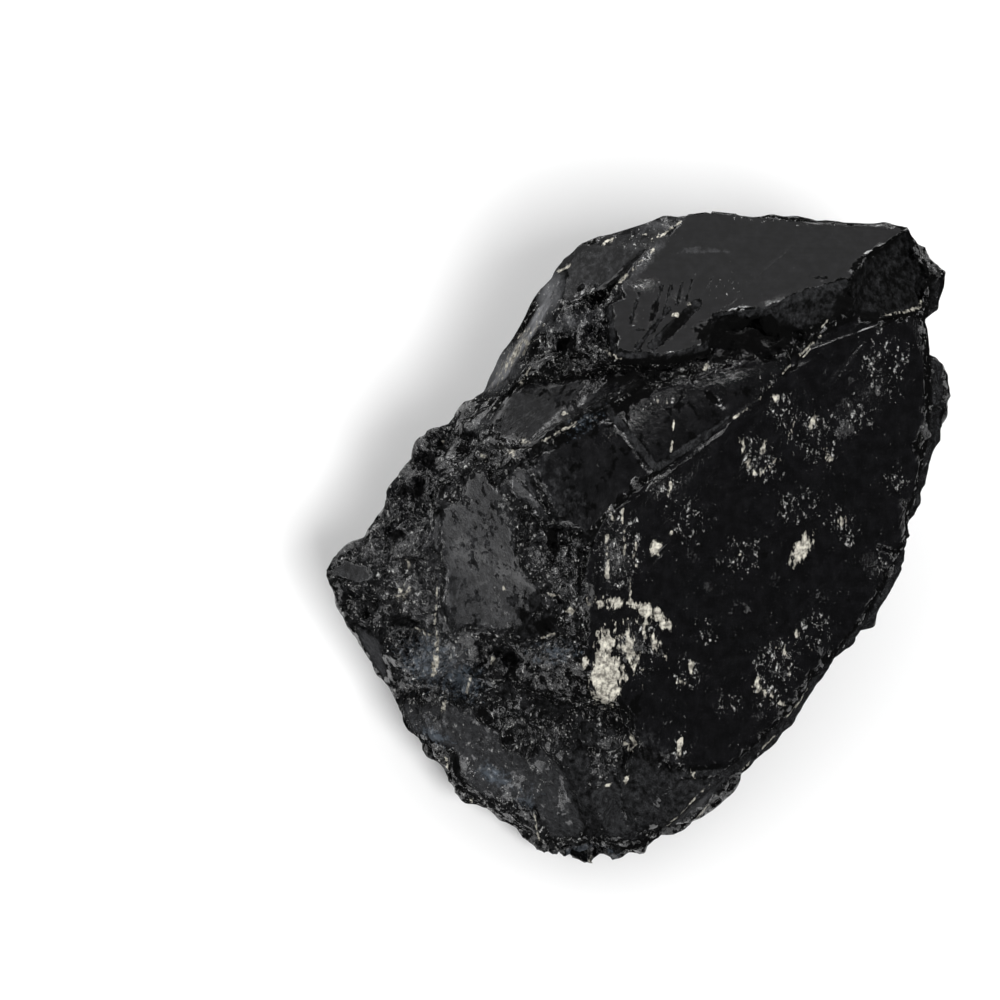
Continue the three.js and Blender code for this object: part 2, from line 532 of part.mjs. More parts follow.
/** The outward direction at every point, and the calmest of the finishes beside it. */
function surfaceAt(mesh) {
  const surface = mesh.points.map(() => ({
    normal: new THREE.Vector3(),
    bump: Infinity,
    chipped: Infinity,
    spalled: Infinity,
    onBase: false,
  }));
  for (const { finish, ends } of mesh.triangles) {
    const [p, q, r] = ends.map((end) => mesh.points[end]);
    const cross = q.clone().sub(p).cross(r.clone().sub(p));
    for (const end of ends) {
      const here = surface[end];
      if (finish === RESTING) {
        here.onBase = true;
        continue;
      }
      here.normal.add(cross);
      here.bump = Math.min(here.bump, finish.bump);
      here.chipped = Math.min(here.chipped, finish.chipped);
      here.spalled = Math.min(here.spalled, finish.spalled);
    }
  }
  for (const here of surface) {
    if (here.onBase) here.normal.projectOnPlane(UPRIGHT);
    if (here.bump === Infinity) here.bump = 0; // a point inside the resting face
    here.normal.normalize();
  }
  return surface;
}

// ---------------------------------------------------------------- broken surface

/** A repeatable stream of numbers from 0 to 1. */
function randomStream(seed) {
  let state = seed;
  return () => {
    state = (state * 1664525 + 1013904223) % 4294967296;
    return state / 4294967296;
  };
}

const LUMP_SIZE = 9; // mm between neighbouring lumps
const GRAIN_SIZE = 2.8; // mm between neighbouring grains
const LUMP_SHARE = 1.1; // height of the lumps, as a share of the finish's bump
const GRAIN_SHARE = 1.4; // height of the grains, as a share of the finish's bump
const BASE_OUTLINE_GAIN = 2.2; // the outline of the resting face wanders more than this

/** Lifts and sinks the surface by its bump, in lumps and in smaller grains. */
function roughen(mesh) {
  const noise = new ImprovedNoise();
  const at = (point, size) => noise.noise(point.x / size, point.y / size, point.z / size);
  const surface = surfaceAt(mesh);
  mesh.points.forEach((point, index) => {
    const { normal, bump, onBase } = surface[index];
    const height = LUMP_SHARE * at(point, LUMP_SIZE) + GRAIN_SHARE * at(point, GRAIN_SIZE);
    point.addScaledVector(normal, bump * height * (onBase ? BASE_OUTLINE_GAIN : 1));
  });
}

// Breaks: how many are tried, the finish value they follow, the sideways part of their direction
// against its outward part, and their radius and depth.
const SPALLS = {
  tries: 150, follows: "spalled", tilt: 0.2, radius: [6, 12], depth: [0.2, 0.8], seed: 7,
};
const CHIPS = {
  tries: 420, follows: "chipped", tilt: 0.75, radius: [2.2, 4.6], depth: [0.2, 0.9], seed: 41,
};

/** Scrapes flat facets off the surface where its finish is broken. */
function breakOff(mesh, { tries, follows, tilt, radius, depth, seed }) {
  const random = randomStream(seed);
  const between = ([low, high]) => low + (high - low) * random();
  const surface = surfaceAt(mesh);
  for (let count = 0; count < tries; count += 1) {
    const chosen = Math.floor(random() * mesh.points.length);
    const wanted = random() < surface[chosen][follows];
    const sideways = new THREE.Vector3(random() - 0.5, random() - 0.5, random() - 0.5);
    const reach = between(radius);
    const sunk = between(depth);
    if (!wanted || surface[chosen].onBase) continue;
    const facing = surface[chosen].normal.clone().addScaledVector(sideways, 2 * tilt).normalize();
    const middle = mesh.points[chosen].clone();
    mesh.points.forEach((point, index) => {
      const share = surface[index][follows];
      if (surface[index].onBase || point.distanceTo(middle) > reach) return;
      const height = point.clone().sub(middle).dot(facing) + sunk * share;
      if (height > 0) point.addScaledVector(facing, -height * share);
    });
  }
}

// Black pits in the front: middle, half sizes across and up, turn in degrees, depth.
const PITS = [
  { at: [-33.4, 7.4], half: [1.3, 3.2], turn: -25, depth: 3 },
  { at: [-31.4, 11.6], half: [1.4, 1.8], turn: 0, depth: 2.2 },
  { at: [-29, 14.2], half: [1.2, 1.8], turn: -20, depth: 2 },
  { at: [-26, 14.2], half: [0.9, 2.4], turn: -10, depth: 1.8 },
  { at: [-28.8, 7.6], half: [0.9, 2.2], turn: -5, depth: 1.6 },
  { at: [-19.2, -17], half: [1.6, 2.2], turn: 0, depth: 2.6 },
  { at: [-23, -17.6], half: [1.4, 1.3], turn: 0, depth: 1.8 },
  { at: [-4, -30], half: [3.2, 2.2], turn: -30, depth: 1.6 },
  { at: [-11.6, 29], half: [1.8, 1.4], turn: 0, depth: 2 },
  { at: [-7.6, 35.2], half: [2.2, 1.1], turn: 10, depth: 1.2 },
  { at: [-27.6, -33], half: [0.8, 2.2], turn: 15, depth: 1.2 },
  { at: [41.6, 44], half: [1.6, 1.8], turn: 0, depth: 1.2 },
];

/** Sinks each pit straight into the front, deepest in its middle. */
function sinkPits(mesh) {
  const surface = surfaceAt(mesh);
  for (const { at, half, turn, depth } of PITS) {
    const angle = THREE.MathUtils.degToRad(-turn);
    mesh.points.forEach((point, index) => {
      if (surface[index].normal.z < 0) return;
      const offset = new THREE.Vector2(point.x - at[0], point.y - at[1]);
      offset.rotateAround(new THREE.Vector2(), angle);
      const reach = Math.hypot(offset.x / half[0], offset.y / half[1]);
      if (reach < 1) point.z -= depth * (1 - reach * reach);
    });
  }
}

// ---------------------------------------------------------------- the stone

/** Turns the finished triangles to their resting pose, with the base on z = 0. */
function standOnBase(mesh) {
  const surface = surfaceAt(mesh);
  const uprightAxis = new THREE.Vector3(1, 0, 0);
  mesh.points.forEach((point, index) => {
    point.applyAxisAngle(uprightAxis, LEAN);
    point.z += REST_HEIGHT;
    if (surface[index].onBase) point.z = 0;
  });
}

/** Moves the stone so that the middle of its box is over the origin. */
function centre(geometry) {
  geometry.computeBoundingBox();
  const middle = geometry.boundingBox.getCenter(new THREE.Vector3());
  geometry.translate(-middle.x, -middle.y, 0);
}

function stoneGeometry() {
  const mesh = coarseMesh();
  while (splitOnce(mesh) > 0);
  roughen(mesh);
  breakOff(mesh, SPALLS);
  breakOff(mesh, CHIPS);
  sinkPits(mesh);
  standOnBase(mesh);
  const geometry = new THREE.BufferGeometry();
  const positions = mesh.points.flatMap((point) => point.toArray());
  geometry.setAttribute("position", new THREE.Float32BufferAttribute(positions, 3));
  geometry.setIndex(mesh.triangles.flatMap(({ ends }) => ends));
  centre(geometry);
  return mergeVertices(geometry);
}

const schorl = new THREE.MeshStandardMaterial({ color: "#1b1b1d", roughness: 0.3, metalness: 0 });

const stone = new THREE.Mesh(stoneGeometry(), schorl);
stone.name = "tourmaline_stone";

const part = new THREE.Group();
part.add(stone);
export default part;
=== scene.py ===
"""Black tourmaline: one rough chunk of schorl with pale mineral crusts, lying on a white table."""

import math
import random

import bpy
import numpy as np
from bpy.props import FloatProperty, PointerProperty, StringProperty
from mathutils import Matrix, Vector, kdtree, noise


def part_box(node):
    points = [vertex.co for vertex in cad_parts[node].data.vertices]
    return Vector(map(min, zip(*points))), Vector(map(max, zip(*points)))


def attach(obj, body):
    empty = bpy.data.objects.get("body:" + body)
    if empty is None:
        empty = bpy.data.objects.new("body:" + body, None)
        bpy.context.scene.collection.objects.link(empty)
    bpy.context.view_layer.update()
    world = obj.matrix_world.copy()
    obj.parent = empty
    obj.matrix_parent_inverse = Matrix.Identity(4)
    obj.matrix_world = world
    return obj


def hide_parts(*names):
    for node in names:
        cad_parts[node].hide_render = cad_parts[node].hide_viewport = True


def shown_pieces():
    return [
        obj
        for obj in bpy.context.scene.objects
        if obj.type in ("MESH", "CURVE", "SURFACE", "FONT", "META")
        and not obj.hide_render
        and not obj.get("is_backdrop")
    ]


bl_info = {
    "name": "Black tourmaline stone",
    "version": (1, 0, 0),
    "blender": (4, 5, 0),
    "location": "3D View > Sidebar > Stone",
    "description": "Builds a rough chunk of schorl and the plain studio that it lies in",
    "category": "Object",
}

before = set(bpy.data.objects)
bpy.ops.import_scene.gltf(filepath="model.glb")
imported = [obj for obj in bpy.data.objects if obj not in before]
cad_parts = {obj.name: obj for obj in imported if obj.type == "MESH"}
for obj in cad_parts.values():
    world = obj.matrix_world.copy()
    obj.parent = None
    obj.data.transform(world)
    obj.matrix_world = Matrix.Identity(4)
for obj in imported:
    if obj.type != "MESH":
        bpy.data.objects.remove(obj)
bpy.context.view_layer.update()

MM = 0.001
FAR = 1e3  # mm, further than anything on the stone
NEAR = 3.0  # mm, how far outside an outline its distance still counts
WELL_INSIDE = 1.0  # mm inside an outline, where the way that its plane faces is measured
ALIGNED = math.cos(math.radians(32))  # how squarely a point faces the way of its plane
JOIN = 1.5  # mm, how near two cleavage planes lie when they meet in a clean edge
SEAM = 0.8  # mm, how far a seam reaches to either side of an outline
WALL = 2.2  # mm, how far the wall of a step reaches from an outline
LEVEL_LIMIT = 2.0  # mm, the most that levelling a cleavage plane may move it
MERGE_DISTANCE = 1e-6  # m
CUT_PASSES = 4  # each pass halves the sides that are still too long
CUT_MARGIN = 0.5  # mm beside a cut or stroke where faces are small too
CRISP_ANGLE = math.radians(12)  # edges sharper than this stay crisp
WORN_DISTANCE = 0.3  # mm from a flat zone, where broken corners start to be worn

# The edge of a cleavage plane wanders into the broken stone, in wide and narrow bends, in mm.
EDGE_DRIFT = 1.6
WIDE_BENDS = 4.0
NARROW_BENDS = 1.3
NARROW_SHARE = 0.7

# Where one kind of surface turns into another, from and to: by how squarely it faces the front,
TO_FRONT = (0.05, 0.25)
TO_REAR = (0.1, -0.2)
TO_SWOLLEN_RIM = (0.7, 0.3)
TO_MORE_CHIPS = (0.2, 0.6)
TO_LEVELLED = (0.15, 0.3)
# by mm above the table, by how high up it mirrors the room,
TO_RESTING_FACE = (1.2, 0.2)
TO_DIM_ROOM = (0.25, -0.15)
# and by mm inside an outline.
FLAT_EDGE = (-0.1, 0.6)
WHOLE_EDGE = (-1.8, 0.1)
LEVEL_EDGE = (-0.2, 0.5)
PRISM_EDGE = (-0.3, 0.6)
RIGHT_EDGE = (-1, 1.5)
DARK_EDGE = (-1, 1)
FILM_EDGE = (-0.3, 0.8)
NO_FILM = -0.3  # the film's level where there is none

# The stone's broad front leans back from level. Its features are easiest to place in the frame of
# that front: across (to the right), up (up the leaning front) and out (squarely away from it).
LEAN = math.radians(30)
FRONT_ORIGIN = (0.557, 1.986, 30.0)  # the front frame's origin in the part's frame, in mm
MARKS_END = -18  # mm out, behind which no hollow is marked

# ---------------- zones of the front, in mm

# Flat crystal faces and cleavage planes: how granular each is from 0 to 1, and its outline.
FLAT_ZONES = {
    "prism_face": (0.0, [(4, 48), (10, 48.8), (26, 47.1), (39, 46.2), (36, 43.8), (32.3, 41.5), (30, 37.7),
        (23.5, 36.3), (17.5, 33.6), (14, 33.8), (10.7, 32.6), (9.8, 30), (8.5, 28.2), (6.4, 27.6), (5, 26.6),
        (3.4, 27), (1, 26), (-1, 26.8), (-3, 26.2), (-4.6, 27.4), (-4, 29.4), (-5.6, 31), (-4.4, 32.6),
        (-5, 34.6), (-3, 35.6), (-3.6, 37.4), (-2, 38.8), (-1.4, 41), (1, 43.2), (5.5, 46.8)]),
    "right_face": (0.15, [(0, 9.5), (-5.4, 4.3), (-7.3, 1.8), (-9, -3), (-9.6, -9), (-8.6, -14.5), (-9, -21),
        (-3, -23.6), (-2, -28.5), (4.5, -33.8), (11.5, -33.4), (18.6, -27.8), (26.6, -17.4), (32.8, -10.6),
        (37.4, -1.2), (39.8, 8), (41.3, 17), (41, 25.6), (40.9, 33.6), (34, 32.3), (28, 32.6), (22.3, 27.1),
        (18, 22), (12.5, 17.5), (6, 12.7)]),
    "dark_face": (0.08, [(-16.5, 11), (-14.8, 5.5), (-12, 2), (-7.3, 1.8), (-5.4, 4.3), (0, 9.5),
        (-4.6, 16.8), (-9, 17.6), (-13.2, 14.8)]),
    "crest_slope": (0.12, [(-4.6, 16.8), (0, 9.5), (6, 12.7), (12.5, 17.5), (18, 22), (22.3, 27.1),
        (14.5, 26.4), (7.5, 24.3), (-2.4, 20.9), (-9, 17.6)]),
    "shelf": (0.26, [(-20.6, 21.6), (-23.6, 17), (-21.4, 15), (-18, 13.9), (-13.2, 14.8), (-9, 17.6),
        (-2.4, 20.9), (2, 24.4), (-6, 24.6), (-12, 23.8), (-16, 24.4)]),
    "left_plane": (0.28, [(-29.6, 4.6), (-27.6, 5.6), (-26.2, 6.4), (-26, 9.2), (-24.6, 10.8), (-22.8, 10.4),
        (-21.8, 8.2), (-20.6, 5), (-19, 2.6), (-18.4, -1.6), (-18.8, -4), (-17, -5.6), (-15, -7),
        (-14.8, -10.2), (-17.2, -12), (-19.2, -13.6), (-24, -13), (-28.6, -12.6), (-30, -9), (-29.8, -3),
        (-30, 1)]),
    "left_plane_high": (0.2, [(-20, 9.6), (-18.6, 10.8), (-16.6, 10.6), (-15.2, 6), (-12.6, 2.2),
        (-14.6, 2.4), (-16, 3.6), (-17.4, 5.6), (-19.6, 6.6)]),
    "left_chip": (0.05, [(-15.4, -8.4), (-12.6, -7.8), (-11.4, -9), (-12.4, -10.2), (-15.6, -10.4)]),
    "left_chip_low": (0.05, [(-16, -11.4), (-12.6, -10.6), (-13.6, -12.6), (-15.6, -13.6), (-17, -12.6)]),
    "lower_plane": (0.5, [(-36, -23.5), (-30, -24), (-25, -23.8), (-24, -26), (-20.6, -27.6), (-20.4, -30),
        (-17, -31.4), (-14.6, -30), (-12.4, -32), (-10.6, -35), (-9.8, -38), (-8.6, -41), (-8.4, -43),
        (-10, -44), (-13.6, -44.6), (-15, -42), (-16, -39.6), (-19, -38.6), (-24.6, -38.2), (-26, -36.4),
        (-27, -34), (-28.2, -31), (-31, -30), (-34.4, -28.6), (-35.6, -26)]),
    "keel_left": (0.3, [(-4.4, -33), (-8.4, -37), (-5.4, -44), (-1.4, -44.4), (-3, -36)]),
    "keel": (0.25, [(-2, -30), (-3.4, -36), (-1, -43.6), (5, -40.4), (11.5, -34), (4.5, -34.2)]),
    "sliver": (0.02, [(-23.6, 21.8), (-20, 23.8), (-15.6, 31), (-13.3, 34.6), (-12.4, 39.5), (-17.2, 31.5)]),
    "block_left": (0.08, [(-12.6, 35.2), (-10.8, 35.2), (-8.6, 36.7), (-5.8, 36.5), (-3, 38.5), (1, 43.2),
        (5.5, 46.8), (4, 48), (-3, 45.9), (-9.2, 43.7), (-12.6, 39.5)]),
    "block_end": (0.08, [(30, 37.7), (28, 32.6), (34, 32.3), (38, 32.9), (40.9, 33.6), (41.7, 36),
        (42.2, 38.8), (40.2, 42), (39, 46.2), (36, 43.8), (32.3, 41.5)]),
    "block_foot": (0.1, [(18.8, 31), (22.9, 30.1), (28, 32.6), (30, 37.7), (23.5, 36.3), (17.5, 33.6)]),
    "groove": (0.35, [(-24, -20.2), (-20, -20.4), (-17, -21.4), (-13.8, -23), (-10.4, -24.2), (-6, -26),
        (-3.6, -24.8), (-2, -24), (-2.4, -26), (-6, -27.2), (-8.8, -28), (-9.6, -27), (-12.4, -26),
        (-16, -25), (-20, -24.6), (-22, -23.6), (-24, -22)]),
    "groove_foot": (0.3, [(-10, -28.5), (-8.6, -28.5), (-8.8, -31), (-9, -34), (-8.6, -36), (-7.8, -38.5),
        (-6.6, -40.4), (-6, -42.6), (-6.6, -43.4), (-8, -41.8), (-9, -39.8), (-9.4, -37), (-10.4, -35),
        (-10.8, -32.6)]),
    "jowl": (0.3, [(-42.6, -12.2), (-40.6, -13.4), (-38.6, -14.4), (-38, -17), (-37.4, -20.6),
        (-38.4, -21.2), (-40.4, -18.2), (-42.2, -14.6)]),
    "nose_groove": (0.35, [(-43, -8.4), (-38, -9.3), (-35.6, -11), (-39, -12), (-42, -11)]),
    "nose": (0.2, [(-46.4, -4.6), (-45.6, -2.8), (-42.4, -3.2), (-40.6, -4), (-39.8, -5.4), (-42, -6),
        (-45.2, -5.8)]),
}

# Zones that break along one sheet instead of facets: 1 where it is plane and 2 where it curves.
LEVELLED = {"shelf": 2, "left_plane_high": 1, "crest_slope": 2, "block_end": 2, "left_plane": 1,
            "lower_plane": 2}

# Pale mineral spots: middle across and up, half sizes, turn in degrees, and strength.
CRUST_SPOTS = [
    (-5.7, -19.6, 2.9, 4.9, 0, 1.9), (-5.8, -14.8, 2.1, 3, 0, 1.3), (-2.5, -15.6, 1.7, 4.8, 20, 0.9),
    (0.8, -13.8, 1.1, 4.4, 34, 0.85), (-5.4, -8.8, 3.4, 1.1, -6, 1.1), (0.2, -9.9, 3.6, 1.3, -24, 1.15),
    (2.9, -12, 1.9, 1.1, -48, 1.1), (1.2, -0.7, 1.3, 1.6, 0, 1.2), (3.6, 1.1, 0.5, 0.6, 0, 0.9),
    (23, -1, 1.5, 3.4, -28, 1.5), (21.8, -3, 0.8, 1.2, -30, 1), (24.4, 17.4, 0.9, 1.4, -6, 0.85),
    (19, 20.9, 0.7, 1.1, 0, 1), (28.8, 3.2, 1, 1.5, 30, 0.55), (22.3, -13.4, 0.5, 1.3, 24, 0.9),
    (24.2, -15.6, 0.5, 0.7, 0, 0.8), (6.6, -18, 0.7, 1.3, -6, 1), (5.1, -20.3, 0.8, 1, 0, 0.95),
    (-8, -47.6, 4, 0.9, 0, 0.8), (-18.6, 27.8, 1.4, 7, -33, 0.72), (6.8, -34, 0.8, 0.7, 0, 0.6),
    (5, -29.8, 0.6, 2, -8, 1.2), (12, -24, 0.4, 0.5, 0, 0.8), (13.4, -1.8, 0.6, 0.7, 0, 0.6),
    (3.6, 7.6, 0.5, 1.4, 0, 0.8), (4.5, 32.9, 0.75, 0.6, 0, 1.15), (6.5, 34.4, 0.4, 0.5, 0, 1.15),
    (3, 38.6, 0.7, 0.3, 0, 0.8), (1, 43.6, 0.8, 0.4, 30, 0.8), (2.1, 44.8, 0.5, 0.7, -20, 0.9),
    (-5, 44.2, 1.4, 0.45, 30, 1), (-0.2, 45.2, 1, 0.3, 0, 0.8), (-17.4, 14.5, 1, 0.6, -12, 0.9),
    (-23.4, 12.2, 0.9, 0.8, 0, 0.9), (-19.4, 12.8, 1.1, 0.8, -40, 0.9), (-29.8, 14.6, 0.8, 0.6, 0, 0.9),
    (-10.9, -9.9, 0.9, 0.7, 0, 1.15), (-13.4, -7.6, 1.5, 0.3, 0, 1.2), (-8.8, -17.4, 0.8, 1.2, 0, 1.1),
    (-20, -7, 1, 0.4, -30, 1), (-34.6, -3.4, 0.6, 0.9, 0, 1), (-35.2, -7.6, 1.4, 1.4, 0, 0.6),
    (-22, -17.2, 0.6, 0.7, 0, 1.2), (-30.5, -17.6, 0.5, 2.4, 6, 1), (-5.2, -35.6, 1, 0.4, 20, 1),
    (-2.6, -34.8, 0.4, 1, -20, 1), (8.6, 25, 0.5, 1.2, -30, 0.9), (2, 20.2, 1.8, 0.5, -10, 0.6),
    (-20, 18.4, 0.6, 0.4, 0, 0.8), (-11.8, 18.6, 0.8, 0.35, 20, 1),
]

# Pale strokes: start across and up, end across and up, half width, and strength.
CRUST_AND_HIGHLIGHT_STROKES = [
    (-5.6, 0.8, -5.5, -5, 0.5, 0.72), (-3.1, 2, -3.1, -2.4, 0.32, 0.72),
    (-1.5, -0.4, -1.7, -3.4, 0.42, 0.65), (-2.3, -4, -2.2, -9, 0.2, 0.55),
    (-3.4, 4.6, -3.4, 2.6, 0.34, 0.85), (-5.4, 4.6, -4.6, 3, 0.34, 0.85), (13.9, 14.6, 15.2, 10.6, 0.6, 0.5),
    (15.2, 10.4, 16.4, 9.6, 0.5, 0.45), (17.4, 15.2, 17, 13, 0.5, 0.5), (19.2, 11.8, 16.6, 9.8, 0.6, 0.5),
    (21.6, 17.4, 20.9, 14.8, 0.32, 0.61), (26.4, 13.4, 27, 11.8, 0.46, 0.76),
    (16.4, -21, 20.4, -24, 0.6, 0.55), (16.6, -19.8, 16.4, -21.8, 0.5, 0.5),
    (18, -15.6, 20.4, -15.4, 0.37, 0.55), (20.4, -15.4, 21.2, -19.4, 0.37, 0.41),
    # Painted highlight: the thin strokes up the crest, to (27, 32.7), stand for light along the ridge.
    (12.6, 17.8, 14.8, 19.3, 0.22, 0.5), (16.3, 20.5, 18.2, 22.7, 0.22, 0.56),
    (19.2, 23.6, 21, 25.6, 0.25, 0.56), (21.8, 26.4, 25.4, 29.8, 0.22, 0.6),
    (22.8, 26.6, 24.6, 28.6, 0.22, 0.55), (25.6, 31, 27, 32.7, 0.2, 0.6), (35.4, 33, 38.4, 33.5, 0.29, 0.76),
    (38.4, 33.5, 40.6, 34.4, 0.4, 0.91), (40.6, 34.4, 41.6, 36.2, 0.34, 0.68),
    (-30.2, -5.6, -30.2, -9, 0.18, 0.95), (-30.2, -9, -30.6, -12, 0.2, 1),
    (-30.6, -12, -30, -14.4, 0.2, 1.05), (-33.6, -12.8, -30, -14.4, 0.26, 1.25),
    (-30, -14.4, -30.2, -17, 0.3, 1.15), (-30.2, -17, -30.8, -19.6, 0.6, 1.2),
    (-25.3, -20, -26, -22.6, 0.32, 1.23), (-15, -13.8, -13.2, -13.2, 0.29, 1.23),
    (-29, -23.4, -29.6, -25.2, 0.4, 0.85), (-16, -40, -15.2, -44.6, 0.25, 1.23),
    (-25.2, -38.4, -25.5, -39.8, 0.34, 1.04), (-29, -31.6, -28.8, -34, 0.29, 0.95),
    (-3.6, -28.6, -2, -30.4, 0.46, 0.95), (-2, -28.2, -1.4, -29.4, 0.46, 0.95),
    (-4.4, 37, -2.4, 39, 0.36, 0.5), (-2.4, 39, 2, 43.2, 0.28, 0.42), (2.4, 44.6, 5.8, 47.2, 0.27, 0.61),
    (-12.4, 39.9, -9.8, 41, 0.29, 1.23), (-18, 23, -16.6, 25.4, 0.34, 0.66),
    (-3.6, 26.2, -5.6, 27.4, 0.34, 0.85), (-14.8, 14.4, -10.2, 17, 0.34, 0.5),
    (4, 17.6, 3.6, 13, 0.23, 0.66), (-5.2, 16.4, -5.6, 12, 0.23, 0.57), (3.6, -42, 10, -34.8, 0.2, 0.6),
    (8.2, -41, 10, -39.2, 0.24, 0.7), (14.8, -34, 19.6, -28.8, 0.22, 0.66), (21, -26, 24.6, -22, 0.22, 0.66),
    (26, -22, 30.4, -16, 0.18, 0.5),
]

# Bluish-grey inclusions, laid out as the spots above.
BLUISH_SPOTS = [
    (-31.4, -17.6, 5.4, 4.6, 0, 1), (-27, -20.6, 4.4, 3.4, -10, 0.9), (-21.8, -34.6, 3.4, 1.7, -28, 1.15),
    (-31, -28.6, 4, 1.6, -20, 0.7), (-8.4, -47, 5.4, 2, 0, 1.6), (-13, -16, 4, 2, 0, 0.6),
    (-17, -38, 2, 2, 0, 0.5), (-9, 17, 3, 1.4, 30, 0.4),
]

# Broken patches inside the flat faces.
BROKEN_SPOTS = [
    (-21.4, -9.4, 1.4, 4, 0, 0.9), (-20.4, -2, 1.2, 5, 10, 0.8), (-25, -6, 1, 1, 0, 0.5),
    (-27, -34, 3, 4, 10, 0.8), (-22, -27, 5, 1.6, -10, 0.9), (-11.6, -38, 1.6, 5, 10, 0.8),
    (-10, 33, 6, 3, 20, 0.9), (-8, 35.4, 3, 1, 15, 1.2), (0, 37.2, 4, 1.8, 10, 0.8),
    (-1.4, 32, 2, 3, -20, 0.5), (5, 35.4, 5, 3, 0, 0.45), (-3, 38.6, 3, 1.4, 45, 0.8),
    (0.6, 41.6, 3, 1, 52, 0.8), (4, 45.6, 3, 0.9, 35, 0.8), (20, 35, 8, 1.6, 12, 0.6),
    (32, 22, 14, 9, 60, 0.42), (26, 30, 6, 3, 45, 0.5), (16.6, 12, 5, 5, 20, 0.35),
    (-4.4, -2, 4.4, 9, 0, 0.55), (-2, -14, 5, 8, 0, 0.5), (2, 8, 4, 5, 40, 0.5), (19.4, -18, 6, 7, 30, 0.35),
    (26, -10, 5, 4, 40, 0.3), (34, -4, 4, 4, 50, 0.5), (6, -30, 4, 6, 0, 0.35), (-4, 16, 6, 2, 30, 0.4),
    (12, 23.4, 8, 1.6, 15, 0.45), (-17, 19, 5, 3, 0, 0.3), (-25, 7.6, 2, 2, 0, 0.5),
    (-22, -7, 2.4, 2, 0, 0.5), (-29, 0, 1.6, 5, 0, 0.4), (-18.4, -35, 2, 4, -20, 0.7),
    (-31, -27, 3, 2, -20, 0.6), (-15, -33, 2, 2, 0, 0.6), (-23, -38, 4, 1.4, -10, 0.8),
    (3, -37, 2, 4, -20, 0.5), (-14, -41, 2, 3, 0, 0.4), (-2, -38, 2, 5, 0, 0.35),
]

# Dull grey films; the first two lie on the sliver, where they are a painted reflection.
FILM_AND_SHEEN_SPOTS = [
    (-13.6, 36.6, 2.2, 5, -14, 1.4), (-20.6, 25.4, 3, 6, -38, 1.1), (-10.6, 32, 5.4, 2, 14, 0.6),
    (-29, -17.5, 7, 5, 0, 0.4), (-20.5, -34, 6, 4, 0, 0.3), (-42, -5, 5, 3, 0, 0.1),
    (-28, -3, 20, 25, 0, 0.19), (-12, -36, 18, 12, 0, 0.14), (0, 41, 8, 1.2, 50, 0.3),
    (2, 46.6, 5, 1.4, 18, 0.35), (-8, -47, 7, 2.4, -6, 0.5), (8, -39, 8, 1.2, 45, 0.6),
    (-24, 17, 4, 1.4, 40, 0.4), (8.6, 42.6, 6, 0.5, 0, 0.3),
]

# Hollows and undercuts that get painted shade, black, laid out as the spots above.
HOLLOW_SHADE_SPOTS = [
    (-31.5, 12, 1.6, 2.4, -10, 1), (-33.2, 7.6, 1.6, 3.2, -10, 1), (-29.4, 14, 1.4, 1.4, 0, 0.9),
    (-26, 15.4, 1.6, 1.2, 0, 0.9), (-26.8, 13.4, 1.2, 1.6, 0, 0.9), (-35.2, 7.4, 1.2, 2, 0, 0.9),
    (-29.2, 7.4, 1, 1.2, 0, 0.8), (-30, 4.2, 1.2, 1, 0, 0.8), (-19.2, -17.6, 1.5, 2.8, 0, 1),
    (-23, -18, 1.6, 1.2, 0, 0.8), (-21.6, -16.2, 1.2, 1, 0, 0.8), (-13.3, 0, 0.8, 2.6, 8, 1.2),
    (-14.6, -12, 1.8, 1.6, 0, 0.9), (-11.4, 28.6, 2.4, 1.8, 10, 1.3), (15, 30, 8.4, 3.2, -4, 2.4),
    (5, 26.5, 10, 0.8, 4, 0.9), (-27.4, -33.4, 0.7, 2.2, -8, 1.2), (-23.4, -25, 1, 0.8, 0, 0.9),
    (-22.4, -26.3, 1, 0.6, 0, 0.9), (-16, -31.2, 1, 0.8, 0, 0.9), (-19.6, -29, 1, 0.8, 0, 0.8),
    (-25.6, -19, 2.4, 1.6, 0, 0.7), (4.4, 31.2, 4.6, 1, 47, 1.2), (1.2, 33, 0.9, 3.4, -16, 0.75),
    (-36, 1, 2, 1, 0, 0.8), (-37, 1, 1.6, 1, 0, 0.7), (-35, -12, 3, 1.2, -10, 0.6),
    (0, -45, 6, 0.8, 14, 0.8), (-17.4, -10.4, 1.2, 1, 0, 0.8), (-18.6, 25.8, 0.5, 2.4, -20, 1),
    (9.8, 20.6, 2.4, 0.7, -32, 1), (-2, 23.6, 6, 1.4, 8, 0.9),
]

# Where the fine flecks crowd.
FLECK_SPOTS = [
    (35, 26, 5, 7, 0, 0.5), (25, 15, 5, 6, 0, 0.45), (16.6, 12, 4, 4.4, 20, 0.62), (20, 19, 4, 4, 30, 0.4),
    (-4, -1, 4.6, 8, 0, 0.6), (2, 9, 4, 5, 40, 0.5), (6, 3, 4, 5, 0, 0.4), (14, -2, 5, 4, 20, 0.4),
    (22, 5, 5, 4, 0, 0.36), (29, 2, 3, 5, 30, 0.5), (36, -4, 3, 3, 0, 0.5), (19.4, -18, 5, 5, 30, 0.6),
    (25, -13, 4, 4, 30, 0.45), (18, -23, 3, 3, -35, 0.6), (12, -24, 3, 3, 0, 0.36), (6, -19, 3, 4, 0, 0.45),
    (-1, -15, 4, 6, 0, 0.7), (5, -30, 2, 4, 0, 0.5), (9, -13, 3, 3, 0, 0.3), (37, 9, 3, 3, 0, 0.4),
    (31, 18, 4, 4, 0, 0.4), (22, 28, 10, 1.2, 42, 0.5), (17, 22, 10, 1, 44, 0.45), (0, 44.6, 5, 3, 25, 0.5),
    (22, 47, 12, 0.8, -5, 0.7), (2, 20, 6, 2, 20, 0.4), (-12, 15.4, 5, 1, 25, 0.6),
    (-21.8, -34.6, 3.2, 1.6, -28, 1.6), (-8, -47.4, 5, 1.4, 0, 1.4), (12, 36, 8, 4, 0, 0.2),
    (-22, -32, 12, 9, 0, 0.9),
]
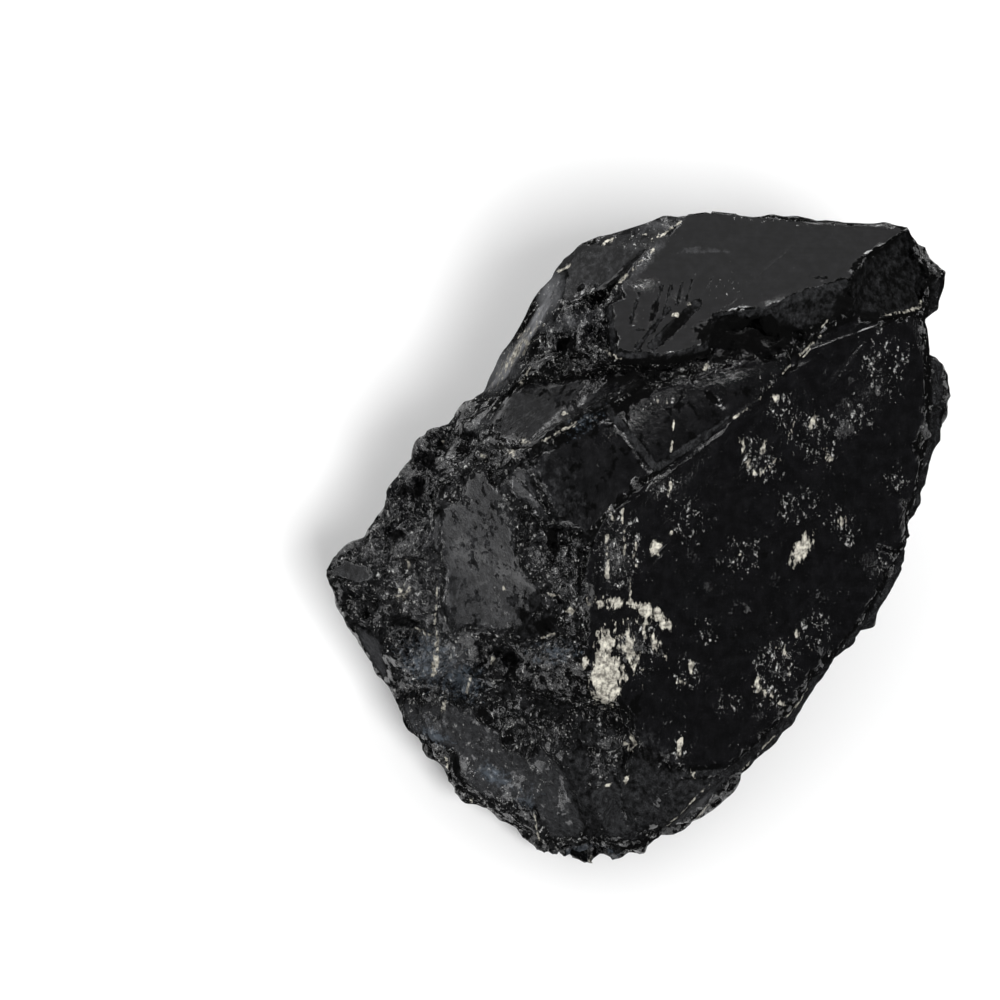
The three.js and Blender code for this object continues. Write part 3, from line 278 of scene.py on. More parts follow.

# Strokes of painted shade, black: cracks, the step under the prism face and the lower right rim, laid out as
# the pale ones.
HOLLOW_SHADE_STROKES = [
    (7.6, 34.4, 1, 28.2, 0.9, 2.6), (3.6, 33.8, -1.4, 27.8, 0.5, 1.2), (2.6, 37.4, 1.4, 32.6, 0.4, 1),
    (4, 37.4, 2.8, 33.6, 0.3, 0.85), (5.6, 37.6, 4.6, 34.4, 0.3, 0.85), (7, 38, 6, 35, 0.28, 0.8),
    (-0.6, 36.4, -2.2, 31.6, 0.4, 1), (-1.2, 30.6, 0.6, 30.4, 0.25, 0.9), (29.4, 37.6, 23.4, 36, 0.9, 1.6),
    (23.4, 36, 17.4, 33.3, 0.9, 1.6), (17.4, 33.3, 10.4, 32.5, 0.9, 1.6), (10.4, 32.5, 8.6, 28, 0.7, 1.2),
    (8.6, 28, 3, 26.6, 0.8, 1.4), (3, 26.6, -4.6, 27, 0.8, 1.4), (-4.6, 27, -5, 34, 0.7, 1.2),
    (-5.6, 19, 1.4, 10.6, 1, 1.3), (1.4, 10.6, 9, 15.6, 0.9, 1.3), (9, 15.6, 12, 18, 0.6, 0.9),
    (9.8, 38.4, 9.4, 37, 0.25, 0.7), (24, 38.6, 26.6, 38.4, 0.25, 0.7), (-27.4, -31.8, -27, -35.4, 0.5, 1.2),
    (-5.6, -46.6, 5.6, -43.6, 0.3, 0.9), (3.6, -41.6, 10, -36.2, 2.2, 1), (10, -36.2, 19.8, -29, 2.2, 1),
    (19.8, -29, 27.2, -19.6, 2.2, 1), (27.2, -19.6, 34.8, -10.6, 2.2, 1), (34.8, -10.6, 39.2, -2, 2.2, 1),
    (39.2, -2, 41.8, 8, 2.2, 1), (41.8, 8, 43.4, 17, 2.2, 1), (43.4, 17, 43.4, 26, 2.2, 0.9),
    (43, 26, 43.6, 38, 1.6, 0.8), (-3.4, -33.6, -1.2, -43.8, 0.8, 1.3), (4.2, -34, 12, -33.6, 0.8, 1.3),
]

# Narrow cuts in the crystal faces, laid out as the strokes, with their depth for the strength.
CUTS = [
    (8.6, 21.5, 11.4, 19.6, 0.4, 0.6), (-13.2, 1.6, -13.6, -3.6, 0.8, 1.2),
    (-27.6, -31.6, -26.8, -35.6, 0.45, 0.9), (-8.2, -39, -6.8, -42.6, 0.8, 0.8),
    (-22, 8, -22.8, 11, 0.3, 0.5), (34, -0.6, 36.4, -1.6, 0.5, 0.6),
]

# Flat parts that turn away from every light, and how much painted shade, black, each gets.
DARK_ZONES = {
    "groove": 0.6, "groove_foot": 1.3, "nose_groove": 0.3, "left_chip_low": 0.9, "block_end": 1.2,
    "block_foot": 1.1, "keel": 1.0, "keel_left": 0.9, "jowl": 1.0, "lower_plane": 0.75, "left_plane": 0.2,
    "crest_slope": 0.1, "dark_face": 0.1, "right_face": -0.1, "shelf": 0.12,
}

# Flat parts under a dull grey film, and how thick it is. On the sliver the grey is a painted reflection.
FILM_AND_SHEEN_ZONES = {
    "keel": 0.13, "keel_left": 0.2, "block_foot": 0.07, "jowl": 0.45, "sliver": 2.2, "lower_plane": 0.29,
    "groove": 0.07, "groove_foot": 0.07, "block_end": 0.05, "left_plane": 0.0, "left_plane_high": 0.2,
    "shelf": 0.02, "block_left": 0.04,
}

# Flat chips, largest first: how many are tried, radius and depth in mm, tilt, and random seed.
CHIPS = [
    (900, (1.6, 3.2), (0.1, 0.6), 0.22, 11),
    (4500, (0.8, 1.6), (0.05, 0.3), 0.3, 12),
    (9000, (0.5, 0.8), (0.03, 0.15), 0.4, 13),
]

# ---------------- materials and lamps

# Colours that the panel leaves alone, sRGB.
MOTTLED_BLACK = "#0c0c0e"
# Painted shade: the black put into hollows, cracks, seams and faces turned from the light.
HOLLOW_SHADE_BLACK = "#000000"
MINERAL_SHADE = "#605c54"
# Pale flecks, and painted glints all over broken stone.
FLECK_AND_GLINT_WHITE = "#f2f2ef"
PAPER_WHITE = "#f6f6f6"

# Marks, each with a point attribute of its name and made ragged by noise: its size in mm, stretch,
# roughness and swing, and the levels between which the mark sets in.
MARKS = {
    "crust_and_highlight": (0.7, (1, 0.45, 1), 0.65, 3.4, 0.35, 0.6),
    "bluish": (0.8, (1, 1, 1), 0.72, 3.6, 0.2, 1.1),
    "hollow": (1.5, (1, 0.8, 1), 0.66, 3.0, 0.32, 0.37),
    "fleck_and_glint": (0.7, (1, 0.6, 1), 0.85, 3.8, 0.25, 0.75),
    "film_and_sheen": (0.9, (1, 0.7, 1), 0.8, 1.2, 0.0, 1.5),
}

# Fine relief, by point attribute: crumbs of broken stone, striae across the prism and fibres up the
# right-hand face. Noise size in mm, stretch, detail, roughness, and height in metres.
RELIEFS = {
    "grain": (0.6, (1, 1, 1), 4.0, 0.65, 0.00032),
    "prism": (0.4, (0.04, 1, 1), 3.0, 0.5, 0.000028),
    "right": (0.35, (1, 0.14, 0.4), 4.0, 0.6, 0.00007),
}

# Patches: noise size in mm, detail, roughness, its levels where a patch sets in, and what is left
# between patches.
PATCHES = {
    "clump": (2.2, 4.0, 0.62, 0.35, 0.6, 0.3),
    "mottle": (1.6, 5.0, 0.62, 0.42, 0.66, 0.0),
    "pale": (0.7, 4.0, 0.7, 0.4, 0.64, 0.0),
}

# Fracture grains, widest first: width in mm, how far they lean, and how many stay flush.
GRAINS = ((1.9, 0.45, 0.1), (0.75, 0.8, 0.25), (0.3, 1.3, 0.4))

# A direction across which the stone mirrors nothing but the dim room.
UNLIT = (2.7, -4.4, 6.1)

# How dull each mark is beside the crust, and what the crust and the mottling add to the roughness.
DULLNESS = {"fleck_and_glint": 0.8, "film_and_sheen": 0.6, "bluish": 0.5}
CRUST_ROUGHNESS = 0.55
MOTTLE_ROUGHNESS = 0.16
LEAST_MOTTLE = 0.04  # taken off again, as there is always some mottling

# Softboxes that the stone mirrors: azimuth (0 in front, 90 on the right), elevation, size in metres,
# and brightness.
SOFTBOXES = {
    "softbox_back": (180, 48, (0.9, 0.7), 0.36),
    "softbox_left_back": (-133, 26, (0.7, 0.6), 0.26),
    "softbox_left": (-92, 24, (0.6, 0.6), 0.34),
    "softbox_left_front": (-62, 20, (0.4, 0.6), 0.4),
}
SOFTBOX_DISTANCE = 0.9
LAMP_AIM = (0, 0, 0.03)  # the point that the lamps look at

# Small bright lamps that only the stone sees: they make its grains glint. Azimuth and elevation.
GLINT_LAMPS = {
    "glint_left_high": (-45, 64),
    "glint_left_back_high": (-115, 57),
    "glint_front_low": (-18, 18),
    "glint_back_low": (178, 8),
    "glint_right_back": (142, 22),
    "glint_right_high": (100, 62),
}
GLINT_SIZE = (0.3, 0.3)
GLINT_BRIGHTNESS = 12

# Lamps that only the table sees, so that it is white round a black stone: as above, with the
# distance and the setting that holds the brightness.
TABLE_LAMPS = {
    "table_light": (15, 53, (0.28, 0.28), 1.2, "key_light"),
    "table_fill": (0, 90, (1.6, 1.6), 1.0, "table_fill"),
}
TABLE_SIZE = 6

CAMERA_TARGET = (-21, 6, 1)  # in the front's frame, in mm
CAMERA_DISTANCE = 0.5625
CAMERA_LENS = 135
CAMERA_SENSOR = 36

# ---------------- sizes and colours


class SchorlShape(bpy.types.PropertyGroup):
    """Sizes of the broken surface."""

    broken_face: FloatProperty(
        name="Broken faces", description="Longest side where the stone is broken",
        default=0.0009, min=0.0002, unit="LENGTH")
    plain_face: FloatProperty(
        name="Plain faces", description="Longest side where the stone is flat",
        default=0.002, min=0.0002, unit="LENGTH")
    drawn_face: FloatProperty(
        name="Marked faces", description="Longest side beside cuts and pale marks",
        default=0.0006, min=0.0002, unit="LENGTH")
    rear_face: FloatProperty(
        name="Rear faces", description="Longest side at the rear and underside",
        default=0.003, min=0.0002, unit="LENGTH")
    swell: FloatProperty(
        name="Swell", description="How far broken stone stands out before it is chipped",
        default=0.001, unit="LENGTH")
    flake_size: FloatProperty(
        name="Flake size", description="Width of the large flakes that broke away",
        default=0.0038, unit="LENGTH")
    flake_depth: FloatProperty(
        name="Flake depth", description="Depth of the large flakes", default=0.0007, unit="LENGTH")
    chip_size: FloatProperty(
        name="Chip size", description="Width of the chips inside the flakes",
        default=0.0017, unit="LENGTH")
    chip_depth: FloatProperty(
        name="Chip depth", description="Depth of the chips", default=0.0003, unit="LENGTH")


class SchorlFinish(bpy.types.PropertyGroup):
    """Colours and polish of the stone."""

    schorl: StringProperty(
        name="Schorl", description="Colour of the clean black stone, sRGB", default="#040405")
    # The grey of the film, which on the sliver stands for a painted reflection.
    film_and_sheen: StringProperty(
        name="Grey film", description="Colour of the dull film on some faces, sRGB", default="#6a6b6e")
    mineral: StringProperty(
        name="Pale mineral", description="Colour of the pale crust, sRGB", default="#d8d4c6")
    inclusion: StringProperty(
        name="Inclusions", description="Colour of the bluish inclusions, sRGB", default="#434d57")
    polish: FloatProperty(
        name="Roughness", description="Roughness of a clean fracture", default=0.14)
    index: FloatProperty(
        name="Index of refraction", description="Schorl bends light about this much", default=1.63)


class SchorlStudio(bpy.types.PropertyGroup):
    """The plain studio round the stone."""

    sky_light: FloatProperty(
        name="Fill light", description="Brightness of the even light from all round", default=0.05)
    key_light: FloatProperty(
        name="Table light", description="Brightness of the light that whitens the table", default=52)
    table_fill: FloatProperty(
        name="Table fill", description="Brightness of the light that softens the shadow", default=1.15)


# ---------------- small helpers


def linear(hex_colour):
    """An sRGB hex colour as linear RGBA."""
    channels = [int(hex_colour[place:place + 2], 16) / 255 for place in (1, 3, 5)]
    return [c / 12.92 if c <= 0.04045 else ((c + 0.055) / 1.055) ** 2.4 for c in channels] + [1]


def from_front(across, up, out):
    """A point of the front frame, in mm, as a point of the part, in metres."""
    return Vector((
        FRONT_ORIGIN[0] + across,
        FRONT_ORIGIN[1] + math.cos(LEAN) * up - math.sin(LEAN) * out,
        FRONT_ORIGIN[2] + math.sin(LEAN) * up + math.cos(LEAN) * out,
    )) * MM


# One millimetre straight out of the front.
OUTWARD = from_front(0, 0, 1) - from_front(0, 0, 0)


def to_front(points):
    """Points of the part, in metres, in the front frame, in mm."""
    moved = points / MM - np.array(FRONT_ORIGIN)
    return np.stack([
        moved[:, 0],
        math.cos(LEAN) * moved[:, 1] + math.sin(LEAN) * moved[:, 2],
        -math.sin(LEAN) * moved[:, 1] + math.cos(LEAN) * moved[:, 2],
    ], axis=1)


def facing_out(normals):
    """How squarely each normal points out of the front: 1 squarely, 0 along it, negative away."""
    return normals[:, 2] * math.cos(LEAN) - normals[:, 1] * math.sin(LEAN)


def smooth_step(low, high, value):
    """0 up to low, 1 from high on, and an even curve between; low may be the higher one."""
    share = np.clip((value - low) / (high - low), 0, 1)
    return share * share * (3 - 2 * share)


def depth_inside(front, outline):
    """How far each point is inside an outline seen from the front, in mm, negative outside."""
    corners = np.array(outline, np.float32)
    depth = np.full(len(front), -FAR, np.float32)
    near = np.all((front[:, :2] > corners.min(axis=0) - NEAR)
                  & (front[:, :2] < corners.max(axis=0) + NEAR), axis=1)
    x = np.ascontiguousarray(front[near, 0])
    y = np.ascontiguousarray(front[near, 1])
    inside = np.zeros(len(x), bool)
    nearest = np.full(len(x), FAR, np.float32)
    for (ax, ay), (bx, by) in zip(corners, np.roll(corners, -1, axis=0)):
        dx, dy = bx - ax, by - ay
        along = np.clip(((x - ax) * dx + (y - ay) * dy) / (dx * dx + dy * dy), 0, 1)
        nearest = np.minimum(nearest, np.hypot(x - ax - along * dx, y - ay - along * dy))
        crosses = (ay > y) != (by > y)
        inside ^= crosses & (x < ax + (y - ay) / (dy or 1) * dx)
    depth[near] = np.where(inside, nearest, -nearest)
    return depth


def zone_share(front, zone, edge):
    """1 inside a flat zone and 0 outside, with a soft edge between two depths in mm."""
    return smooth_step(*edge, depth_inside(front, FLAT_ZONES[zone][1]))


def read_vectors(rows, name):
    """One vector of each row, as an array."""
    values = np.empty(len(rows) * 3, np.float32)
    rows.foreach_get(name, values)
    return values.reshape(-1, 3)


def read_points(mesh):
    """A mesh's points."""
    return read_vectors(mesh.vertices, "co")


def read_normals(mesh):
    """The way that the mesh faces at each point."""
    return read_vectors(mesh.vertex_normals, "vector")


def write_points(mesh, points):
    """Moves a mesh's points."""
    mesh.vertices.foreach_set("co", np.asarray(points, np.float32).ravel())
    mesh.update()


# ---------------- the stone's surface


def wander(front, size, seed=0.0):
    """Smooth noise from -1 to 1 at each point, with bumps of this size in mm."""
    shift = np.array([seed * 7.3, seed * 3.1, seed * 5.7])
    return np.array([noise.noise(place) for place in (front / size + shift).tolist()], np.float32)


def zone_fields(points, normals):
    """What the stone is like at each point, from 0 to 1; "outside" is mm from the nearest zone."""
    front = to_front(points)
    drift = EDGE_DRIFT * (wander(front, WIDE_BENDS) + NARROW_SHARE * wander(front, NARROW_BENDS, 2))
    facing = facing_out(normals)
    first = np.full(len(points), -FAR)
    second = np.full(len(points), -FAR)
    outside = np.full(len(points), FAR)
    wall = np.zeros(len(points))
    granular_here = np.ones(len(points))
    for granular, outline in FLAT_ZONES.values():
        depth = depth_inside(front, outline)
        main_way = normals[(depth > WELL_INSIDE) & (facing > 0.2)].sum(axis=0)
        aligned = normals @ main_way > ALIGNED * np.linalg.norm(main_way)
        wall = np.maximum(wall, np.clip(WALL - np.abs(depth), 0, 1) * ~aligned)
        depth = np.where(aligned, depth, np.minimum(depth, -1))
        outside = np.minimum(outside, -depth)
        depth = depth + (0 if granular == 0 else drift)
        granular_here = np.where(depth > first, granular, granular_here)
        second = np.maximum(second, np.minimum(first, depth))
        first = np.maximum(first, depth)
    # Two zones that meet share a clean edge, with no broken band between them.
    joined = first + np.clip(JOIN + second, 0, JOIN)
    seam = np.maximum(wall, np.clip(1 - np.abs(first) / SEAM, 0, 1)) * (facing > 0)
    flat = smooth_step(*FLAT_EDGE, joined) * smooth_step(*TO_FRONT, facing)
    clear = 1 - smooth_step(*WHOLE_EDGE, joined) * smooth_step(*TO_FRONT, facing)
    rear = smooth_step(*TO_REAR, facing)
    resting = smooth_step(*TO_RESTING_FACE, points[:, 2] / MM)
    grain = 1 - flat * (1 - granular_here)
    grain = np.where(rear > 0, np.minimum(grain, 1 - 0.3 * rear), grain) * (1 - resting)
    outside = np.where(facing > 0, outside, FAR)
    return {"flat": flat, "grain": grain, "rear": rear, "resting": resting, "outside": outside,
            "clear": clear, "seam": seam}


def spot_field(front, spots):
    """The strongest of the spots at each point: its strength in the middle, 0 at its edge."""
    field = np.full(len(front), -1.0)
    for across, up, half_across, half_up, turn, strength in spots:
        angle = math.radians(turn)
        dx = front[:, 0] - across
        dy = front[:, 1] - up
        x = (dx * math.cos(angle) + dy * math.sin(angle)) / half_across
        y = (-dx * math.sin(angle) + dy * math.cos(angle)) / half_up
        field = np.maximum(field, strength * (1 - np.hypot(x, y)))
    return field


def beside_line(front, ax, ay, bx, by):
    """How far along a line each point is, from 0 to 1, and how far away from it, in mm."""
    dx, dy = bx - ax, by - ay
    x, y = front[:, 0] - ax, front[:, 1] - ay
    along = np.clip((x * dx + y * dy) / (dx * dx + dy * dy), 0, 1)
    return along, np.hypot(x - along * dx, y - along * dy)


def stroke_field(front, strokes):
    """The strongest of the strokes at each point, as in spot_field."""
    field = np.full(len(front), -1.0)
    for *line, half_width, strength in strokes:
        gap = beside_line(front, *line)[1]
        field = np.maximum(field, strength * (1 - gap / half_width))
    return field


def set_group(piece, name, weights):
    """A vertex group with these weights, in twenty steps."""
    group = piece.vertex_groups.new(name=name)
    steps = np.round(weights * 20).astype(int)
    for step in range(1, 21):
        chosen = np.nonzero(steps == step)[0]
        if len(chosen):
            group.add(chosen.tolist(), step / 20, "REPLACE")


def apply_modifier(piece, kind, name, **settings):
    """Adds a modifier with its settings to the active piece, and applies it."""
    modifier = piece.modifiers.new(name, kind)
    for key, value in settings.items():
        setattr(modifier, key, value)
    bpy.ops.object.modifier_apply(modifier=modifier.name)


def scallop(piece, name, size, depth, group):
    """Breaks shell-shaped flakes of one size out of a piece, where its vertex group says."""
    texture = bpy.data.textures.new(name, "VORONOI")
    texture.distance_metric = "DISTANCE_SQUARED"
    texture.noise_scale = size
    apply_modifier(piece, "DISPLACE", name, texture=texture, texture_coords="LOCAL", direction="NORMAL",
                   strength=depth, mid_level=0.45, vertex_group=group)


def chip_off(piece, weights, count, radius, depth, tilt, seed):
    """Knocks flat chips off where the weights say: each one is cut by a plane of its own tilt.

    A modifier can't cut planes like these, so the points are moved in code.
    """
    mesh = piece.data
    points = read_points(mesh)
    normals = read_normals(mesh)
    tree = kdtree.KDTree(len(points))
    for index, place in enumerate(points.tolist()):
        tree.insert(place, index)
    tree.balance()
    draw = random.Random(seed)
    likely = np.nonzero(weights > 0.05)[0]
    for _ in range(count):
        chosen = int(likely[draw.randrange(len(likely))])
        reach = draw.uniform(*radius) * MM
        sunk = draw.uniform(*depth) * MM
        lean = np.array([draw.gauss(0, tilt) for _ in range(3)])
        if draw.random() > weights[chosen]:
            continue
        facing = normals[chosen] + lean
        facing /= np.linalg.norm(facing)
        middle = points[chosen].copy()
        near = np.array([index for _, index, _ in tree.find_range(middle.tolist(), reach)], int)
        if not len(near):
            continue
        height = (points[near] - middle) @ facing + sunk
        cut = np.clip(height, 0, 2 * sunk) * np.minimum(weights[near] * 1.5, 1)
        points[near] -= cut[:, None] * normals[chosen]
    write_points(mesh, points)


def select_only(piece):
    """Leaves one object selected and active."""
    bpy.ops.object.select_all(action="DESELECT")
    piece.select_set(True)
    bpy.context.view_layer.objects.active = piece


def cut_faces(piece, chosen):
    """Cuts the sides of the chosen triangles in two, and makes every face a triangle again."""
    bpy.ops.object.mode_set(mode="EDIT")
    bpy.ops.mesh.select_all(action="DESELECT")
    bpy.ops.object.mode_set(mode="OBJECT")
    piece.data.polygons.foreach_set("select", chosen)
    bpy.ops.object.mode_set(mode="EDIT")
    bpy.ops.mesh.subdivide(number_cuts=1)
    bpy.ops.mesh.select_all(action="SELECT")
    bpy.ops.mesh.quads_convert_to_tris()
    bpy.ops.object.mode_set(mode="OBJECT")


def cut_fine(piece, shape):
    """Merges the loose triangles and cuts them finely, finest where the stone is broken."""
    select_only(piece)
    bpy.ops.object.mode_set(mode="EDIT")
    bpy.ops.mesh.select_mode(type="FACE")
    bpy.ops.mesh.select_all(action="SELECT")
    bpy.ops.mesh.remove_doubles(threshold=MERGE_DISTANCE)
    bpy.ops.object.mode_set(mode="OBJECT")
    mesh = piece.data
    lines = [(*row[:4], 1.7 * row[4] + CUT_MARGIN, 1.0) for row in CUTS]
    lines += [(*row[:4], row[4] + CUT_MARGIN, 1.0) for row in HOLLOW_SHADE_STROKES]
    small = [spot for spot in CRUST_SPOTS if min(spot[2:4]) < 1 and spot[5] > 0.7]
    for _ in range(CUT_PASSES):
        points = read_points(mesh)
        front = to_front(points)
        fields = zone_fields(points, read_normals(mesh))
        broken = np.maximum(1 - fields["flat"], np.clip(spot_field(front, BROKEN_SPOTS), 0, 1))
        wanted = np.where(broken * (1 - fields["resting"]) > 0.4, shape.broken_face, shape.plain_face)
        drawn = np.maximum(stroke_field(front, CRUST_AND_HIGHLIGHT_STROKES), spot_field(front, small))
        narrow = (stroke_field(front, lines) > 0.4) | (drawn > 0.2)
        wanted = np.where(narrow, shape.drawn_face, wanted)
        wanted = np.where(fields["rear"] > 0.7, shape.rear_face, wanted)
        corners = np.empty(len(mesh.polygons) * 3, np.int32)
        mesh.polygons.foreach_get("vertices", corners)
        corners = corners.reshape(-1, 3)
        sides = np.linalg.norm(points[corners] - points[np.roll(corners, 1, axis=1)], axis=2)
        cut_faces(piece, sides.max(axis=1) > wanted[corners].min(axis=1))


def level_planes(piece):
    """Draws each plane that curves gently onto its one sheet."""
    points = read_points(piece.data)
    front = to_front(points)
    facing = facing_out(read_normals(piece.data))
    across, up, out = front.T
    powers = np.stack([across ** 0, across, up, across ** 2, across * up, up ** 2], axis=1)
    for name, order in LEVELLED.items():
        share = zone_share(front, name, LEVEL_EDGE) * smooth_step(*TO_LEVELLED, facing)
        chosen = share > 0.5
        terms = powers[:, :3 * order]
        sheet = np.linalg.lstsq(terms[chosen], out[chosen], rcond=None)[0]
        lift = np.clip(terms @ sheet - out, -LEVEL_LIMIT, LEVEL_LIMIT) * share
        points += lift[:, None] * np.array(OUTWARD, np.float32)
    write_points(piece.data, points)


def carve(piece):
    """Cuts the narrow slots and cracks, straight into the front."""
    points = read_points(piece.data)
    front = to_front(points)
    facing = facing_out(read_normals(piece.data))
    for *line, half_width, depth in CUTS:
        along, gap = beside_line(front, *line)
        # A slot is widest in its middle and narrows to its ends.
        width = half_width * (0.3 + 0.7 * np.sin(math.pi * np.clip(along, 0.03, 0.97)))
        share = np.clip(1 - gap / width, 0, 1) * (facing > 0)
        points -= ((depth * share)[:, None] * np.array(OUTWARD)).astype(np.float32)
    write_points(piece.data, points)


def paint(piece):
    """Marks where each finish and each painted light or shade belongs: point attributes that the material
    reads.

    A mark's level has noise added to it: near 0 the mark is ragged, at 1 it is whole, and at -1
    there is none.
    """
    points = read_points(piece.data)
    normals = read_normals(piece.data)
    front = to_front(points)
    fields = zone_fields(points, normals)
    broken = np.clip(spot_field(front, BROKEN_SPOTS), 0, 1)
    holes = spot_field(front, HOLLOW_SHADE_SPOTS)
    cracks = stroke_field(front, HOLLOW_SHADE_STROKES)
    pits = np.maximum(holes, cracks)
    shown = np.maximum(1 - fields["rear"], (pits > 0.3) & (front[:, 2] > MARKS_END))
    prism = zone_share(front, "prism_face", PRISM_EDGE) * shown
    right = zone_share(front, "right_face", RIGHT_EDGE) * shown
    grain = np.maximum(fields["grain"], broken * shown)

    # Painted shade: broken stone has black hollows, most where it mirrors the dim room, and seams gape.
    outward = np.array(OUTWARD) / MM
    mirrored = 2 * (normals @ outward) * normals[:, 2] - outward[2]
    hollow = 0.6 * grain - 0.53 + 0.3 * grain * smooth_step(*TO_DIM_ROOM, mirrored)
    hollow = np.maximum(np.maximum(pits, hollow), 1.7 * fields["seam"] - 0.9)
    # Flat parts turned from every light get painted shade as well.
    dark = np.zeros(len(points))
    for name, darkness in DARK_ZONES.items():
        inside = zone_share(front, name, DARK_EDGE)
        hollow = np.maximum(hollow, inside * (darkness + 1) - 1 - broken)
        dark = np.maximum(dark, inside * np.clip(darkness - 0.75, 0, 0.5))

    # Pale flecks lie on the flat faces where they crowd; all over broken stone they are painted glints. None
    # lie in pits or painted shade.
    fleck_and_glint = np.clip(1.6 * spot_field(front, FLECK_SPOTS), 0, 0.34) * shown - 0.47
    fleck_and_glint = np.maximum(fleck_and_glint + 0.12 * right, 0.56 * grain - 0.6) - np.clip(pits, 0, 1) - dark
    # Pale crust, and along the crest a painted highlight.
    crust_and_highlight = np.maximum(spot_field(front, CRUST_SPOTS), stroke_field(front, CRUST_AND_HIGHLIGHT_STROKES))
    bluish = spot_field(front, BLUISH_SPOTS)

    # A film, or on the sliver a painted reflection, ends soon past its spot. It is thin in cracks and
    # thinner in holes.
    film_and_sheen = spot_field(front, FILM_AND_SHEEN_SPOTS)
    film_and_sheen = np.clip(np.where(film_and_sheen > 0, film_and_sheen, 8 * film_and_sheen), NO_FILM, 1)
    film_and_sheen = np.maximum(film_and_sheen, 0.46 * smooth_step(0.2, 0.6, cracks) + NO_FILM)
    for name, thickness in FILM_AND_SHEEN_ZONES.items():
        film_and_sheen = np.maximum(film_and_sheen, zone_share(front, name, FILM_EDGE) * (thickness - NO_FILM) + NO_FILM)
    film_and_sheen += NO_FILM * np.clip(holes, 0, 1)

    levels = {"grain": grain, "prism": prism, "right": right, "hollow": hollow * shown - 1 + shown,
              "fleck_and_glint": fleck_and_glint, "film_and_sheen": film_and_sheen * shown + NO_FILM * (1 - shown),
              "crust_and_highlight": crust_and_highlight * shown - 1 + shown, "bluish": bluish * shown - 1 + shown}
    for name, values in levels.items():
        attribute = piece.data.attributes.new(name, "FLOAT", "POINT")
        attribute.data.foreach_set("value", np.asarray(values, np.float32))


def surface_stone(shape):
    """The finished stone: the solid's faces, with everything that broke off their surface."""
    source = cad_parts["tourmaline_stone"]
    select_only(source)
    bpy.ops.object.duplicate()
    piece = bpy.context.active_object
    piece.name = "schorl_stone"
    piece.data.name = "schorl_stone"
    piece.parent = None
    piece.data.materials.clear()
    cut_fine(piece, shape)
    level_planes(piece)
    normals = read_normals(piece.data)
    fields = zone_fields(read_points(piece.data), normals)
    facing = normals @ np.array(OUTWARD) / MM
    broken = fields["clear"] * (1 - fields["resting"])
    set_group(piece, "broken", broken)
    set_group(piece, "rim", broken * smooth_step(*TO_SWOLLEN_RIM, facing))
    set_group(piece, "worn", broken * (fields["outside"] > WORN_DISTANCE))
    apply_modifier(piece, "DISPLACE", "swell", strength=shape.swell, mid_level=0,
                   direction="NORMAL", vertex_group="rim")
    apply_modifier(piece, "SMOOTH", "worn_corners", factor=0.5, iterations=6, vertex_group="worn")
    scallop(piece, "flakes", shape.flake_size, shape.flake_depth, "broken")
    scallop(piece, "chips", shape.chip_size, shape.chip_depth, "broken")
    chipped = broken * (0.3 + 0.7 * smooth_step(*TO_MORE_CHIPS, facing))
    for count, radius, depth, tilt, seed in CHIPS:
        chip_off(piece, chipped, count, radius, depth, tilt, seed)
    carve(piece)
    apply_modifier(piece, "SMOOTH", "blunt_rim", factor=0.5, iterations=7, vertex_group="rim")
    # Nothing stands out of the solid's own box.
    low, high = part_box("tourmaline_stone")
    write_points(piece.data, np.clip(read_points(piece.data), np.array(low), np.array(high)))
    select_only(piece)
    bpy.ops.object.shade_smooth_by_angle(angle=CRISP_ANGLE)
    paint(piece)
    return piece


# ---------------- materials


def add_node(tree, kind, inputs, **settings):
    """Adds a shader node; an input takes a value, another node's output, or a node for its first."""
    node = tree.nodes.new("ShaderNode" + kind)
    for key, value in settings.items():
        setattr(node, key, value)
    for key, value in inputs.items():
        if isinstance(value, bpy.types.Node):
            value = value.outputs[0]
        if isinstance(value, bpy.types.NodeSocket):
            tree.links.new(value, node.inputs[key])
        else:
            node.inputs[key].default_value = value
    return node


def blank_material(name):
    """A new material with no nodes yet."""
    material = bpy.data.materials.new(name)
    material.use_nodes = True
    material.node_tree.nodes.clear()
    return material


def ragged_marks(tree, front):
    """How strong each mark is: the level on the points, broken up by noise."""
    marks = {}
    for name, (size, stretch, roughness, swing, low, high) in MARKS.items():
        wanted = add_node(tree, "Attribute", {}, attribute_name=name).outputs["Fac"]
        spread = add_node(tree, "Mapping", {"Vector": front, "Scale": stretch})
        ragged = add_node(tree, "TexNoise", {
            "Vector": spread, "Scale": 1 / size, "Detail": 5.0, "Roughness": roughness})
        level = add_node(tree, "Math", {0: ragged, 1: swing, 2: wanted}, operation="MULTIPLY_ADD")
        marks[name] = add_node(tree, "MapRange", {
            "Value": level, "From Min": low + swing / 2, "From Max": high + swing / 2})
    return marks


